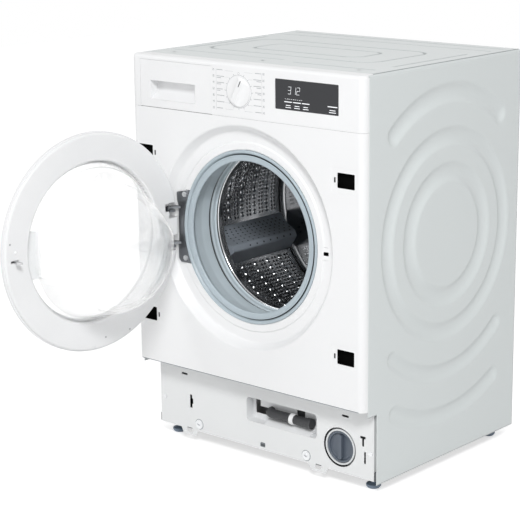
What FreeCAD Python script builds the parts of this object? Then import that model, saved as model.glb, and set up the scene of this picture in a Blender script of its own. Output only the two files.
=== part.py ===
import FreeCAD, Part
import cmath
import math
import os

V = FreeCAD.Vector
X, Y, Z = V(1, 0, 0), V(0, 1, 0), V(0, 0, 1)

# Built-in front-loading washing machine, in millimetres.
# Origin on the floor under the middle of the cabinet, front facing -Y, +Z up.
# Depths named DEEP or DEPTH are measured backwards from the front plane.

# Cabinet
CAB_W = 596.0             # over the side panels
CAB_D = 515.0             # front plane to the rear edge of the side panels
PANEL_LOW = 22.0          # lower edge of the side panels above the floor
SHEET = 0.8               # steel sheet of the panels
SIDE_FLANGE = 22.0        # inward fold on top of a side panel
TOP_INSET = 7.0           # top sheet narrower than the cabinet, each side
CORNER_R = 14.0           # plan radius of the two front corners
FRONT_RETURN = 16.0       # front pieces wrap this far round the sides

# Pressed beads of the side panels, concentric round one point
BEAD_Y = 10.0
BEAD_Z = 479.0
BEAD_DEPTH = 7.0
RING_BIG_R = 194.5
RING_BIG_HALF = 18.5
RING_SMALL_R = 124.0
RING_SMALL_HALF = 20.0
ARC_TOP_R = 279.5
ARC_TOP_HALF = 19.5
ARC_LOW_R = 278.0
ARC_LOW_HALF = 17.0
ARC_FOOT_R = 368.0
ARC_FOOT_HALF = 18.0
ARC_WIDE_DEG = 39.0       # each way from the vertical
ARC_FOOT_DEG = 27.0

# Top sheet pressing
LOOP_BAND = 12.0
LOOP_STEP = 0.5
LOOP_OUT_X = 236.0
LOOP_OUT_Y = 150.0
LOOP_IN_X = 150.0
LOOP_IN_Y = 75.0
LOOP_CHAMFER = 62.0
TOP_SCREW_INSET = 61.0    # outer screws from the side panels
TOP_SCREW_Y = 64.0        # screws this far behind the front plane

# Fascia
FASCIA_H = 105.0          # lower edge to the top of the cabinet
FASCIA_WALL = 2.5
FASCIA_TOP_RETURN = 33.0
FASCIA_EDGE_R = 7.0
SEAM = 0.4                # joint line between front pieces that move apart

# Drawer
DRAWER_MARGIN = 26.0      # from the left side of the cabinet
DRAWER_W = 194.5
DRAWER_TOP_GAP = 10.0     # below the top of the cabinet
DRAWER_WALL = 2.2
PULL_MARGIN = 27.0        # finger recess, from the left end of the drawer
PULL_W = 123.0
PULL_RISE = 16.0          # above the lower edge of the fascia
PULL_H = 38.0
PULL_DEEP = 24.0
TRAY_SIDE = 10.0          # tray narrower than its front, each side
TRAY_RISE = 8.3           # above the lower edge of the fascia
TRAY_H = 62.0
TRAY_LEN = 222.0
TRAY_WALL = 2.0
HOUSING_DROP = 4.3        # floor of the housing under the tray
HOUSING_SIDE = 3.0        # housing narrower than the drawer front, each side
HOUSING_WALL = 2.0
TUB_CLEAR = 2.1           # housing above the tub

# Programme knob
KNOB_OFFSET = 72.0        # axis right of the drawer
KNOB_DROP = 54.0          # axis below the top of the cabinet
KNOB_R = 31.5
KNOB_BASE_H = 5.0
KNOB_H = 18.0
KNOB_GRIP = 10.0          # width of the grip ridge at its crest
KNOB_SCOOP_R = 19.0
KNOB_TILT = 27.0          # ridge from the vertical, clockwise
KNOB_SHAFT_R = 3.0
RUN_FIT = 0.05            # radial clearance of turning shafts

# Display
DISPLAY_MARGIN = 58.5     # from the right side of the cabinet
DISPLAY_W = 153.0
DISPLAY_DROP = 20.5       # below the top of the cabinet
DISPLAY_H = 57.5
DISPLAY_R = 2.0
MODULE_DEEP = 26.0
MODULE_LEFT = 38.0        # past the knob axis
MODULE_RIGHT = 12.0       # past the display
MODULE_BELOW = 8.0
MODULE_ABOVE = 5.0
VENT_W = 6.0
VENT_PITCH = 18.0

# Front panel and its dish
FRONT_LOW = 178.0         # lower edge of the front panel
FRONT_SKIRT = 296.0       # from that edge up to the drum and porthole axis
DISH_R = 220.5            # wall of the dish where the door's skirt ends
DISH_FLARE = 3.5          # rim of the wall outside that, at the front plane
DISH_TAPER = 8.5          # foot of the wall inside it
DISH_ROLL = 6.0
DISH_DEEP = 20.0
DISH_FOOT_ROLL = 7.0
COLLAR_LEN = 15.0
DISH_BEAD_IN = 32.5       # raised ring round the gasket, inside the dish wall
DISH_BEAD_H = 3.0

# Angle bar behind the joint of fascia and front panel
CROSSBAR_DEEP = 46.0
CROSSBAR_T = 1.2
CROSSBAR_H = 10.0

# Openings of the plinth, from its ends, its lower edge and the front panel
FIX_SLOT_W = 17.0
FIX_SLOT_H = 4.5
FIX_SLOT_LEFT = 62.0
FIX_SLOT_RIGHT = 61.5
FIX_SLOT_DROP_L = 29.0
FIX_SLOT_DROP_R = 30.0
KEY_SLOT_LEFT = 84.5
KEY_SLOT_RISE = 47.5
KEY_SLOT_W = 6.5
KEY_SLOT_H = 29.0
KEY_NICK_W = 2.5
KEY_NICK_H = 12.0
KEY_NICK_RISE = 9.0
EYE_LEFT = 37.5           # square hole, from the left side of the hose pocket
EYE_RISE = 6.5
EYE_W = 12.0
EYE_H = 9.0
TEE_RIGHT = 20.5
TEE_RISE = 81.5
TEE_W = 13.0
TEE_BAR_H = 5.0
TEE_STEM_W = 5.0
TEE_STEM_IN = 3.5
TEE_STEM_H = 15.5
SIDE_SLOT_W = 4.5
SIDE_SLOT_RISE = 31.5
SIDE_SLOT_H = 24.0
TAB_LEFT = 64.5
TAB_RIGHT = 120.0
TAB_W = 36.0
TAB_DROP = 12.0
TAB_FLARE = 7.0
TAB_HOLE_W = 15.0
TAB_HOLE_H = 9.0
DISC_LEFT = 109.5
DISC_RIGHT = 169.5
DISC_RISE_L = 15.0
DISC_RISE_R = 14.0
END_SCREW_LEFT = 12.0
END_SCREW_RIGHT = 7.5
END_SCREW_RISE_L = 57.5
END_SCREW_RISE_R = 54.5

# Heating element
HEATER_LEN = 90.0         # past the split of the tub
HEATER_HALF = 16.0
HEATER_BEND = 14.0
HEATER_TUBE_R = 3.2

# Cut-outs for the hinges of a furniture door
CUT_INSET = 41.5          # middle of a right cut-out from the side of the cabinet
CUT_INSET_LEFT = 35.5
CUT_W = 41.0
CUT_H = 29.0
CUT_DROP = 92.6           # upper ones below the fascia
CUT_RISE = 102.4          # lower ones above the lower edge
CUT_SLOT_IN = 26.5        # slot inboard of the cut-out's middle
CUT_SLOT_W = 4.0
CUT_SLOT_H = 10.0
CUT_PAD = 9.0             # shallow pressed pad round each cut-out
CUT_PAD_STEP = 0.5

# Door, drawn closed and then swung open
DOOR_OPEN = 95.0          # pose shown, degrees
HINGE_IN = 20.5           # hinge axis inside the dish wall
HINGE_DEEP = 0.0
DOOR_GAP = 3.0            # round the closed door in the dish
DOOR_SKIN = 2.5
DOOR_FACE_DEEP = 12.0     # inner face of the closed door
DOOR_CROWN = 11.0         # front skin before the front plane
DOOR_LAND_DEEP = -5.0     # where the glass rim seats
DOOR_EYE_IN = 60.5        # opening of the inner face inside the dish wall
DOOR_LAND = 7.0           # land of the outer ring under the glass rim
GLASS_T = 5.0
GLASS_STEP_IN = 8.5       # root of the bowl inside its rim
GLASS_STEP_DEEP = 6.0
GLASS_TAPER = 41.0
GLASS_TIP_DEEP = 117.0
GLASS_TIP_ROLL = 22.0
GRIP_W = 32.0
GRIP_H = 95.0
GRIP_DROP = 5.0           # middle below the drum axis
GRIP_LIP = 4.0

# Door hinge
HINGE_PIN_R = 4.0
KNUCKLE_R = 7.0
KNUCKLE_H = 14.0
ARM_H = 14.0
ARM_T = 3.2
ARM_REACH = 42.0
LUG_SPREAD = 96.0         # outer ends of the two bracket knuckles
BRACKET_T = 4.2
BRACKET_H = 160.0
BRACKET_OUT = 1.5         # outer end past the dish wall
WINDOW_IN = 2.0           # hole in the dish for the bracket
WINDOW_H = 152.0
BRACKET_SCREW_IN = 39.5
BRACKET_SCREW_Z = 66.0    # each way from the axis
BRACKET_SCREW_R = 5.5

# Door catch
HOOK_IN = 27.5            # catch inside the dish wall
HOOK_DROP = 5.0           # below the drum axis
HOOK_T = 4.0
HOOK_PIVOT_DEEP = 3.0
HOOK_REACH_DEEP = 33.0
HOOK_NOSE = 6.0
HOOK_BOSS_R = 4.5
HOOK_PIN_R = 2.0
SLOT_W = 17.0
SLOT_H = 24.0
LOCK_MOUTH = 14.0         # height of the pocket that takes the hook
SLOT_DROP = 4.0
LOCK_DEEP = 28.0

# Gasket
GASKET_T = 3.5
GASKET_IN = 48.5          # collar inside the dish wall
GASKET_LIP = 22.0
GASKET_LIP_DEEP = 19.5
GASKET_FOLD_IN = 54.5     # wall by the drum inside the dish wall
GASKET_FOLD = 6.0
GASKET_STEP = 10.75       # tub collar outside the front collar
TUB_MOUTH_DEEP = 80.0

# Tub and drum
TUB_OVER = 29.5           # inside of the tub past the dish wall
TUB_WALL = 4.0
TUB_SPLIT_Y = 0.0
TUB_BACK_IN = 91.5        # inner face of its back wall from the rear
TUB_MOUTH_LEN = 12.0
DRUM_GAP = 18.0           # drum to tub
DRUM_SHEET = 1.0
DRUM_FRONT_GAP = 20.0
DRUM_BACK_GAP = 31.0      # drum back to tub back
DRUM_MOUTH_IN = 58.5      # mouth inside the dish wall
DRUM_LIP = 9.0
HOLE_R = 4.0
HOLE_ROWS = 5
HOLE_COLUMNS = 4
LIFTERS = 3
LIFTER_ANGLE = 199.8      # of the first one, from +X towards +Z
LIFTER_BASE = 80.0
LIFTER_TIP = 13.0
LIFTER_SKEW = 13.0        # tip off the middle of the base
LIFTER_HOLLOW = 27.0      # height of the hollow face at its deepest
LIFTER_H = 62.0
LIFTER_MARGIN = 14.0
SPIDER_T = 22.0
SPIDER_HUB_R = 38.0
SPIDER_ARM_W = 30.0
SHAFT_R = 15.0
SHAFT_END_IN = 15.5       # bolt face from the rear
BEARING_OUT_R = 31.0
BEARING_W = 15.0
SEAL_W = 6.0
HUB_LEN = 44.0
HUB_WALL = 8.0

# Belt drive
PULLEY_R = 140.0
PULLEY_W = 16.0
PULLEY_IN = 39.5          # its front face from the rear
PULLEY_RIM = 9.0
PULLEY_SPOKES = 5
PULLEY_SPOKE_W = 22.0
BELT_T = 3.5
BELT_W = 12.0
BELT_GAP = 0.3
MOTOR_X = 40.0
MOTOR_HANG = 26.0         # can below the tub
MOTOR_R = 62.0
MOTOR_LEN = 112.0
MOTOR_SHAFT_R = 6.0
MOTOR_PULLEY_R = 11.5
MOTOR_LUG_W = 24.0

# Ballast, springs and dampers
BALLAST_T = 42.0
BALLAST_LEN = 130.0
BALLAST_FRONT_T = 34.0
SPRING_IN = 18.0          # coil axis inside the skin of the tub
SPRING_Y = 16.0
SPRING_COIL_R = 14.0
SPRING_WIRE_R = 2.6
SPRING_BAR_R = 3.2        # turned-in ends of the coil
SPRING_TURNS = 5
SPRING_PITCH = 11.0
SPRING_LIFT = 10.0        # lug above the tub under the coil
SPRING_LUG_H = 42.0
HANGER_DROP = 22.0        # below the top of the cabinet
HANGER_T = 3.0
HANGER_W = 32.0
DAMPER_TUBE_R = 15.0
DAMPER_ROD_R = 6.0
DAMPER_EYE_R = 9.0
DAMPER_EYE_W = 22.0
DAMPER_FOOT_IN = 92.2     # from the inner face of a side panel
DAMPER_FOOT_Z = 62.0
DAMPER_TOP_X = 150.0
DAMPER_TOP_DROP = 230.0   # below the drum axis
DAMPER_Y = 60.0
DAMPER_LUG_T = 6.0
DAMPER_LUG_W = 28.0

# Plinth and base
PLINTH_DEEP = 46.0
PLINTH_GAP_L = 17.5       # to the sides of the cabinet
PLINTH_GAP_R = 8.0
PLINTH_LOW = 27.5
PLINTH_RETURN = 14.0
NOTCH_DROP = 13.0         # side panels step back this far below the front panel
SIDE_STEP_DEEP = 44.0
BASE_RAIL = 46.0
BASE_H = 24.0
BASE_RISE = 6.3           # its underside above the lower edge of the side panels
BASE_SHEET = 2.0
RECESS_W = 185.0          # pocket for the emergency drain hose
RECESS_GAP = 58.0         # its right end from the axis of the filter cap
RECESS_DROP = 45.0        # below the front panel
RECESS_H = 51.0
RECESS_R = 9.0
RECESS_DEEP = 25.0
RECESS_WALL = 2.0
HOSE_R = 9.5
HOSE_BORE_R = 6.5
HOSE_RISE = 24.0          # above the floor of the pocket
HOSE_START = 64.0         # from the left end of the pocket
HOSE_LEN = 101.0
HOSE_BACK = 11.0          # behind the plinth face
HOSE_PLUG = 12.0
SCOOP_LEFT = 18.0         # sloping floor starts this far before the hose
CLIP_OFFSET = 47.0        # from the start of the hose
CLIP_W = 10.0
CAP_INSET = 92.0          # pump filter cap, from the side of the cabinet
CAP_Z = 79.0
CAP_R = 32.0
CAP_HOLE_R = 40.0
CAP_RING_GAP = 0.8        # light ring of the pump round the cap
CAP_RING_T = 3.4
CAP_RING_SINK = 1.0
CAP_GRIP_W = 9.0
CAP_T = 8.0               # rim to back face
CAP_SINK = 2.0            # rim behind the plinth face
CAP_SEAT = 0.3
FILTER_WALL = 3.0
FILTER_R = 26.0
FILTER_LEN = 78.0
PUMP_WALL = 3.0
DISC_R = 9.5
SCREW_R = 3.6

# Feet
FOOT_INSET = 36.0         # from the side of the cabinet
FOOT_FRONT_DEEP = 82.0
FOOT_REAR_IN = 36.0
FOOT_PAD_R = 15.0
FOOT_PAD_H = 11.0
FOOT_STUD_R = 5.0
FOOT_STUD_TOP = 76.0
FOOT_NUT_R = 9.0
FOOT_NUT_H = 6.0

# Rear
COVER_R = 172.0
COVER_BULGE = 13.0
COVER_LAP = 14.0
INLET_INSET = 60.0        # from the side of the cabinet
INLET_DROP = 46.0         # below the top
INLET_R = 13.2            # three-quarter inch pipe thread
INLET_OUT = 20.0
OUTLET_INSET = 52.0
OUTLET_DROP = 76.0
OUTLET_R = 10.5
OUTLET_OUT = 24.0
GLAND_DROP = 38.0         # above the outlet
GLAND_R = 9.0
TRANSIT_X = 150.0
TRANSIT_BELOW = 264.0     # lower holes below the drum axis
TRANSIT_ABOVE = 216.0
TRANSIT_R = 14.0

# Derived places, across the width
HALF_W = CAB_W / 2
IN_X = HALF_W - SHEET                       # inner face of a side panel
TOP_SCREW_X = HALF_W - TOP_SCREW_INSET
DRAWER_X0 = DRAWER_MARGIN - HALF_W
DRAWER_X1 = DRAWER_X0 + DRAWER_W
PULL_X0 = DRAWER_X0 + PULL_MARGIN
PULL_X1 = PULL_X0 + PULL_W
KNOB_X = DRAWER_X1 + KNOB_OFFSET
DISPLAY_X1 = HALF_W - DISPLAY_MARGIN
DISPLAY_X0 = DISPLAY_X1 - DISPLAY_W
CUT_X = HALF_W - CUT_INSET
CUT_LEFT_X = CUT_INSET_LEFT - HALF_W
DAMPER_FOOT_X = IN_X - DAMPER_FOOT_IN
PLINTH_X0 = PLINTH_GAP_L - HALF_W
PLINTH_X1 = HALF_W - PLINTH_GAP_R
CAP_X = HALF_W - CAP_INSET
RECESS_X1 = CAP_X - RECESS_GAP
RECESS_X0 = RECESS_X1 - RECESS_W
HOSE_X0 = RECESS_X0 + HOSE_START
HOSE_X1 = HOSE_X0 + HOSE_LEN
CLIP_X = HOSE_X0 + CLIP_OFFSET
FOOT_X = HALF_W - FOOT_INSET
INLET_X = INLET_INSET - HALF_W
OUTLET_X = HALF_W - OUTLET_INSET
GLAND_X = OUTLET_X

# Radii that follow the dish
DISH_RIM_R = DISH_R + DISH_FLARE
DISH_FOOT_R = DISH_R - DISH_TAPER
DISH_BEAD_R = DISH_R - DISH_BEAD_IN
DOOR_R = DISH_R - DOOR_GAP
DOOR_EYE_R = DISH_R - DOOR_EYE_IN
DOOR_MOUTH_R = DOOR_EYE_R - DOOR_LAND
GLASS_RIM_R = DOOR_EYE_R - GLASS_T / 2      # glass rim fills the eye of the inner ring
GLASS_TIP_R = DOOR_EYE_R - GLASS_TAPER
HINGE_X = HINGE_IN - DISH_R
BRACKET_X0 = -DISH_R - BRACKET_OUT
WINDOW_X0 = WINDOW_IN - DISH_R
BRACKET_SCREW_X = BRACKET_SCREW_IN - DISH_R
HOOK_X = DISH_R - HOOK_IN
GASKET_R = DISH_R - GASKET_IN
GASKET_LIP_R = GASKET_R - GASKET_LIP
GASKET_FOLD_R = DISH_R - GASKET_FOLD_IN
COLLAR_R = GASKET_R + GASKET_T / 2          # gasket grips the dish collar here
TUB_COLLAR_R = GASKET_R + GASKET_STEP
TUB_R = DISH_R + TUB_OVER
TUB_OUT_R = TUB_R + TUB_WALL
SPRING_X = TUB_OUT_R - SPRING_IN
DRUM_R = TUB_R - DRUM_GAP
DRUM_MOUTH_R = DISH_R - DRUM_MOUTH_IN

# Heights, from the floor up
AXIS_Z = FRONT_LOW + FRONT_SKIRT            # drum and porthole axis
HOUSING_X1 = DRAWER_X1 - HOUSING_SIDE
HOUSING_LOW = AXIS_Z + math.sqrt(TUB_OUT_R ** 2 - HOUSING_X1 ** 2) + TUB_CLEAR
TRAY_LOW = HOUSING_LOW + HOUSING_DROP
FASCIA_LOW = TRAY_LOW - TRAY_RISE
CAB_H = FASCIA_LOW + FASCIA_H               # floor to the top sheet
TOP_UNDER = CAB_H - SHEET                   # underside of the top sheet
DRAWER_TOP = CAB_H - DRAWER_TOP_GAP
PULL_LOW = FASCIA_LOW + PULL_RISE
PULL_TOP = PULL_LOW + PULL_H
KNOB_Z = CAB_H - KNOB_DROP
DISPLAY_TOP = CAB_H - DISPLAY_DROP
DISPLAY_LOW = DISPLAY_TOP - DISPLAY_H
CUT_UPPER_Z = FASCIA_LOW - CUT_DROP
CUT_LOWER_Z = FRONT_LOW + CUT_RISE
HOOK_Z = AXIS_Z - HOOK_DROP
SLOT_Z = AXIS_Z - SLOT_DROP
MOTOR_Z = AXIS_Z - TUB_OUT_R - MOTOR_HANG - MOTOR_R
COIL_IN_X = SPRING_X - SPRING_COIL_R - SPRING_WIRE_R
SPRING_LUG_Z = AXIS_Z + math.sqrt(TUB_OUT_R ** 2 - COIL_IN_X ** 2) + SPRING_LIFT
HANGER_Z = CAB_H - HANGER_DROP
DAMPER_TOP_Z = AXIS_Z - DAMPER_TOP_DROP
NOTCH_Z = FRONT_LOW - NOTCH_DROP
BASE_LOW = PANEL_LOW + BASE_RISE
RECESS_TOP = FRONT_LOW - RECESS_DROP
RECESS_LOW = RECESS_TOP - RECESS_H
HOSE_Z = RECESS_LOW + HOSE_RISE
INLET_Z = CAB_H - INLET_DROP
OUTLET_Z = CAB_H - OUTLET_DROP
GLAND_Z = OUTLET_Z + GLAND_DROP

# Depths, front to rear
Y_FRONT = -CAB_D / 2
Y_REAR = CAB_D / 2
HINGE_Y = Y_FRONT + HINGE_DEEP
TUB_FRONT_Y = Y_FRONT + TUB_MOUTH_DEEP
TUB_BACK_Y = Y_REAR - TUB_BACK_IN
DRUM_FRONT_Y = TUB_FRONT_Y + TUB_WALL + DRUM_FRONT_GAP
DRUM_BACK_Y = TUB_BACK_Y - DRUM_BACK_GAP
PULLEY_Y = Y_REAR - PULLEY_IN
SHAFT_END_Y = Y_REAR - SHAFT_END_IN
PLINTH_Y = Y_FRONT + PLINTH_DEEP
BASE_Y = PLINTH_Y + SHEET


def box(x0, x1, y0, y1, z0, z1):
    return Part.makeBox(x1 - x0, y1 - y0, z1 - z0, V(x0, y0, z0))


def disc_x(y, z, r, x0, x1):
    return Part.makeCylinder(r, x1 - x0, V(x0, y, z), X)


def disc_y(x, z, r, y0, y1):
    return Part.makeCylinder(r, y1 - y0, V(x, y0, z), Y)


def disc_z(x, y, r, z0, z1):
    return Part.makeCylinder(r, z1 - z0, V(x, y, z0), Z)


def ring_y(x, z, r_in, r_out, y0, y1):
    return disc_y(x, z, r_out, y0, y1).cut(disc_y(x, z, r_in, y0 - 1, y1 + 1))


def slab(x0, x1, y0, y1, z0, z1, r, axis):
    """A block whose four edges along one axis are rounded."""
    block = box(x0, x1, y0, y1, z0, z1)
    along = [e for e in block.Edges if abs(e.tangentAt(e.FirstParameter).dot(axis)) > 0.99]
    return block.makeFillet(r, along)


def strut(start, end, r):
    """A round bar between two points."""
    return Part.makeCylinder(r, (end - start).Length, start, end - start)


def rounded_path(points, radii, shift=0.0):
    """An open path with rounded corners, moved sideways; points are complex numbers."""
    first = (points[1] - points[0]) / abs(points[1] - points[0])
    pen = points[0] + 1j * first * shift
    segments = []
    for before, here, after, radius in zip(points, points[1:], points[2:], radii):
        a = (here - before) / abs(here - before)
        b = (after - here) / abs(after - here)
        turn = cmath.phase(b / a)
        if radius == 0 or abs(turn) < 1e-6:
            target = here + shift * 1j * (a + b) / (1 + math.cos(turn))
            segments.append((pen, target))
            pen = target
            continue
        side = math.copysign(1, turn)
        start = here - a * radius * math.tan(abs(turn) / 2)
        end = here + b * radius * math.tan(abs(turn) / 2)
        centre = start + 1j * a * side * radius
        middle = centre + (here - centre) / abs(here - centre) * (radius - side * shift)
        entry = start + 1j * a * shift
        leave = end + 1j * b * shift
        segments.append((pen, entry))
        segments.append((entry, middle, leave))
        pen = leave
    last = (points[-1] - points[-2]) / abs(points[-1] - points[-2])
    segments.append((pen, points[-1] + 1j * last * shift))
    return segments


def edges_of(segments, place):
    edges = []
    for segment in segments:
        spots = [place(p) for p in segment]
        if len(spots) == 3:
            edges.append(Part.Arc(*spots).toShape())
        elif spots[0].distanceToPoint(spots[1]) > 1e-6:
            edges.append(Part.makeLine(*spots))
    return edges


def ribbon(points, radii, thick, place):
    """The section of a sheet of even thickness bent along a path."""
    left = rounded_path(points, radii, thick / 2)
    right = [seg[::-1] for seg in reversed(rounded_path(points, radii, -thick / 2))]
    ends = [(left[-1][-1], right[0][0])]
    close = [(right[-1][-1], left[0][0])]
    return Part.Face(Part.Wire(edges_of(left + ends + right + close, place)))


def outline(points, radii, place):
    """A closed outline with rounded corners, as a face."""
    start = (points[-1] + points[0]) / 2
    return Part.Face(Part.Wire(edges_of(rounded_path([start] + points + [start], radii), place)))


def front_section(p):
    """Radius and depth behind the front plane, in the plane through the drum axis."""
    return V(p.real, Y_FRONT + p.imag, AXIS_Z)


def turned(face, degrees=360):
    """A section swept round the drum axis."""
    return face.revolve(V(0, 0, AXIS_Z), Y, degrees)


def wedge(degrees_from, degrees_to, r, y0, y1):
    """A sector round the drum axis, from +X towards +Z."""
    span = degrees_to - degrees_from
    slice_ = Part.Face(Part.makePolygon([V(0, y0, AXIS_Z), V(r, y0, AXIS_Z), V(r, y1, AXIS_Z),
                                         V(0, y1, AXIS_Z), V(0, y0, AXIS_Z)]))
    solid = slice_.revolve(V(0, 0, AXIS_Z), -Y, span)
    solid.rotate(V(0, 0, AXIS_Z), -Y, degrees_from)
    return solid


def mirrored(shape):
    return shape.mirror(V(0, 0, 0), X)


def joined(first, *others):
    return first.fuse(list(others)).removeSplitter()


# Side panels


def bead_profile(u0, u1, half, place):
    """Section of a pressed half-round bead between two places across its width."""
    sphere_r = (half ** 2 + BEAD_DEPTH ** 2) / (2 * BEAD_DEPTH)

    def at(u, under):
        sink = BEAD_DEPTH - sphere_r + math.sqrt(sphere_r ** 2 - u ** 2)
        return place(u, HALF_W - sink - under)

    u_mid = (u0 + u1) / 2
    edges = [Part.Arc(at(u0, 0), at(u_mid, 0), at(u1, 0)).toShape(),
             Part.makeLine(at(u1, 0), at(u1, SHEET)),
             Part.Arc(at(u1, SHEET), at(u_mid, SHEET), at(u0, SHEET)).toShape(),
             Part.makeLine(at(u0, SHEET), at(u0, 0))]
    return Part.Face(Part.Wire(edges))


def press_bead(sheet, r_mid, half, middle_deg=None, spread_deg=None):
    """Presses a full ring, or an arc with round ends, into a side panel."""
    centre = V(0, BEAD_Y, BEAD_Z)
    full = middle_deg is None
    a0 = 0.0 if full else middle_deg - spread_deg
    sweep = 360.0 if full else 2 * spread_deg
    section = bead_profile(-half, half, half, lambda u, x: V(x, BEAD_Y + r_mid + u, BEAD_Z))
    strip = section.revolve(centre, X, sweep)
    opening = Part.Face(Part.makePolygon([
        V(HALF_W - 2 * SHEET, BEAD_Y + r_mid - half, BEAD_Z), V(HALF_W + SHEET, BEAD_Y + r_mid - half, BEAD_Z),
        V(HALF_W + SHEET, BEAD_Y + r_mid + half, BEAD_Z), V(HALF_W - 2 * SHEET, BEAD_Y + r_mid + half, BEAD_Z),
        V(HALF_W - 2 * SHEET, BEAD_Y + r_mid - half, BEAD_Z)])).revolve(centre, X, sweep)
    cuts, adds = [opening], [strip]
    if not full:
        tip = V(0, BEAD_Y + r_mid, BEAD_Z)
        half_section = bead_profile(0, half, half, lambda u, x: V(x, BEAD_Y + r_mid + u, BEAD_Z))
        hole = disc_x(tip.y, tip.z, half, HALF_W - 2 * SHEET, HALF_W + SHEET)
        for turn, at_deg in ((-180, 0.0), (180, sweep)):
            cap = half_section.revolve(tip, X, turn)
            cap.rotate(centre, X, at_deg)
            end_hole = hole.copy()
            end_hole.rotate(centre, X, at_deg)
            adds.append(cap)
            cuts.append(end_hole)
    for shape in cuts + adds:
        shape.rotate(centre, X, a0)
    return sheet.cut(cuts).fuse(adds).removeSplitter()


def spring_hanger():
    """Bracket welded inside a side panel, for the spring to hang from."""
    y0, y1 = SPRING_Y - HANGER_W / 2, SPRING_Y + HANGER_W / 2
    shelf = box(COIL_IN_X, IN_X, y0, y1, HANGER_Z, HANGER_Z + HANGER_T)
    cheek = box(IN_X - HANGER_T, IN_X, y0, y1, HANGER_Z, TOP_UNDER - SHEET)
    return joined(shelf, cheek)


def side_panel():
    """Right side: flat sheet with a step over the plinth, a top fold, a hanger and pressed beads."""
    front = Y_FRONT + FRONT_RETURN
    step = Y_FRONT + SIDE_STEP_DEEP
    under_fascia = Y_FRONT + FASCIA_TOP_RETURN
    corners = [(front, NOTCH_Z), (front, CAB_H - FASCIA_WALL), (under_fascia, CAB_H - FASCIA_WALL),
               (under_fascia, TOP_UNDER), (Y_REAR, TOP_UNDER), (Y_REAR, PANEL_LOW), (step, PANEL_LOW),
               (step, NOTCH_Z), (front, NOTCH_Z)]
    sheet = Part.Face(Part.makePolygon([V(IN_X, y, z) for y, z in corners])).extrude(V(SHEET, 0, 0))
    fold = box(IN_X - SIDE_FLANGE, IN_X, under_fascia, Y_REAR - SHEET, TOP_UNDER - SHEET, TOP_UNDER)
    sheet = joined(sheet, fold, spring_hanger())
    sheet = press_bead(sheet, RING_BIG_R, RING_BIG_HALF)
    sheet = press_bead(sheet, RING_SMALL_R, RING_SMALL_HALF)
    sheet = press_bead(sheet, ARC_TOP_R, ARC_TOP_HALF, 90, ARC_WIDE_DEG)
    sheet = press_bead(sheet, ARC_LOW_R, ARC_LOW_HALF, 270, ARC_WIDE_DEG)
    return press_bead(sheet, ARC_FOOT_R, ARC_FOOT_HALF, 270, ARC_FOOT_DEG)


# Top sheet


def loop_face(half_x, half_y, z):
    """An oblong with diagonal corners, centred on the top sheet."""
    mid_y = (Y_FRONT + FASCIA_TOP_RETURN + Y_REAR) / 2
    cut = min(LOOP_CHAMFER, half_y - LOOP_BAND)
    spots = [(half_x - cut, half_y), (half_x, half_y - cut), (half_x, cut - half_y), (half_x - cut, -half_y)]
    spots += [(-x, y) for x, y in reversed(spots)]
    spots.append(spots[0])
    return Part.Face(Part.makePolygon([V(x, mid_y + y, z) for x, y in spots]))


def top_panel():
    """Sheet laid on the folds of the side panels, stiffened by two pressed loops."""
    edge = HALF_W - TOP_INSET
    sheet = box(-edge, edge, Y_FRONT + FASCIA_TOP_RETURN, Y_REAR, TOP_UNDER, CAB_H)
    for half_x, half_y in ((LOOP_OUT_X, LOOP_OUT_Y), (LOOP_IN_X, LOOP_IN_Y)):
        for z, press in ((CAB_H - LOOP_STEP, sheet.cut), (TOP_UNDER - LOOP_STEP, sheet.fuse)):
            band = loop_face(half_x, half_y, z).cut(loop_face(half_x - LOOP_BAND, half_y - LOOP_BAND, z))
            tool = band.extrude(V(0, 0, LOOP_STEP))
            sheet = sheet.cut(tool) if press == sheet.cut else sheet.fuse(tool)
    for x in (-TOP_SCREW_X, 0.0, TOP_SCREW_X):
        sheet = sheet.cut(disc_z(x, Y_FRONT + TOP_SCREW_Y, SCREW_R, TOP_UNDER - 1, CAB_H + 1))
    return sheet.removeSplitter()


def top_screws():
    """Three countersunk screws that fill their holes in the top sheet."""
    return [disc_z(x, Y_FRONT + TOP_SCREW_Y, SCREW_R, TOP_UNDER - 6, CAB_H)
            for x in (-TOP_SCREW_X, 0.0, TOP_SCREW_X)]


# Fascia with its display and knob


def wrapped_form(margin, y_back, z0, z1, edge_r):
    """Plan of the front with round corners, raised and rounded along its top front edge."""
    x = HALF_W - margin
    y = Y_FRONT + margin
    plan = outline([complex(-x, y_back), complex(-x, y), complex(x, y), complex(x, y_back)],
                   [0, CORNER_R - margin, CORNER_R - margin, 0], lambda p: V(p.real, p.imag, z0))
    solid = plan.extrude(V(0, 0, z1 - z0))
    rim = [e for e in solid.Edges
           if abs(e.BoundBox.ZMin - z1) < 1e-4 and abs(e.BoundBox.ZMax - z1) < 1e-4 and e.BoundBox.YMin < y_back - 1]
    return solid.makeFillet(edge_r, rim)


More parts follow.
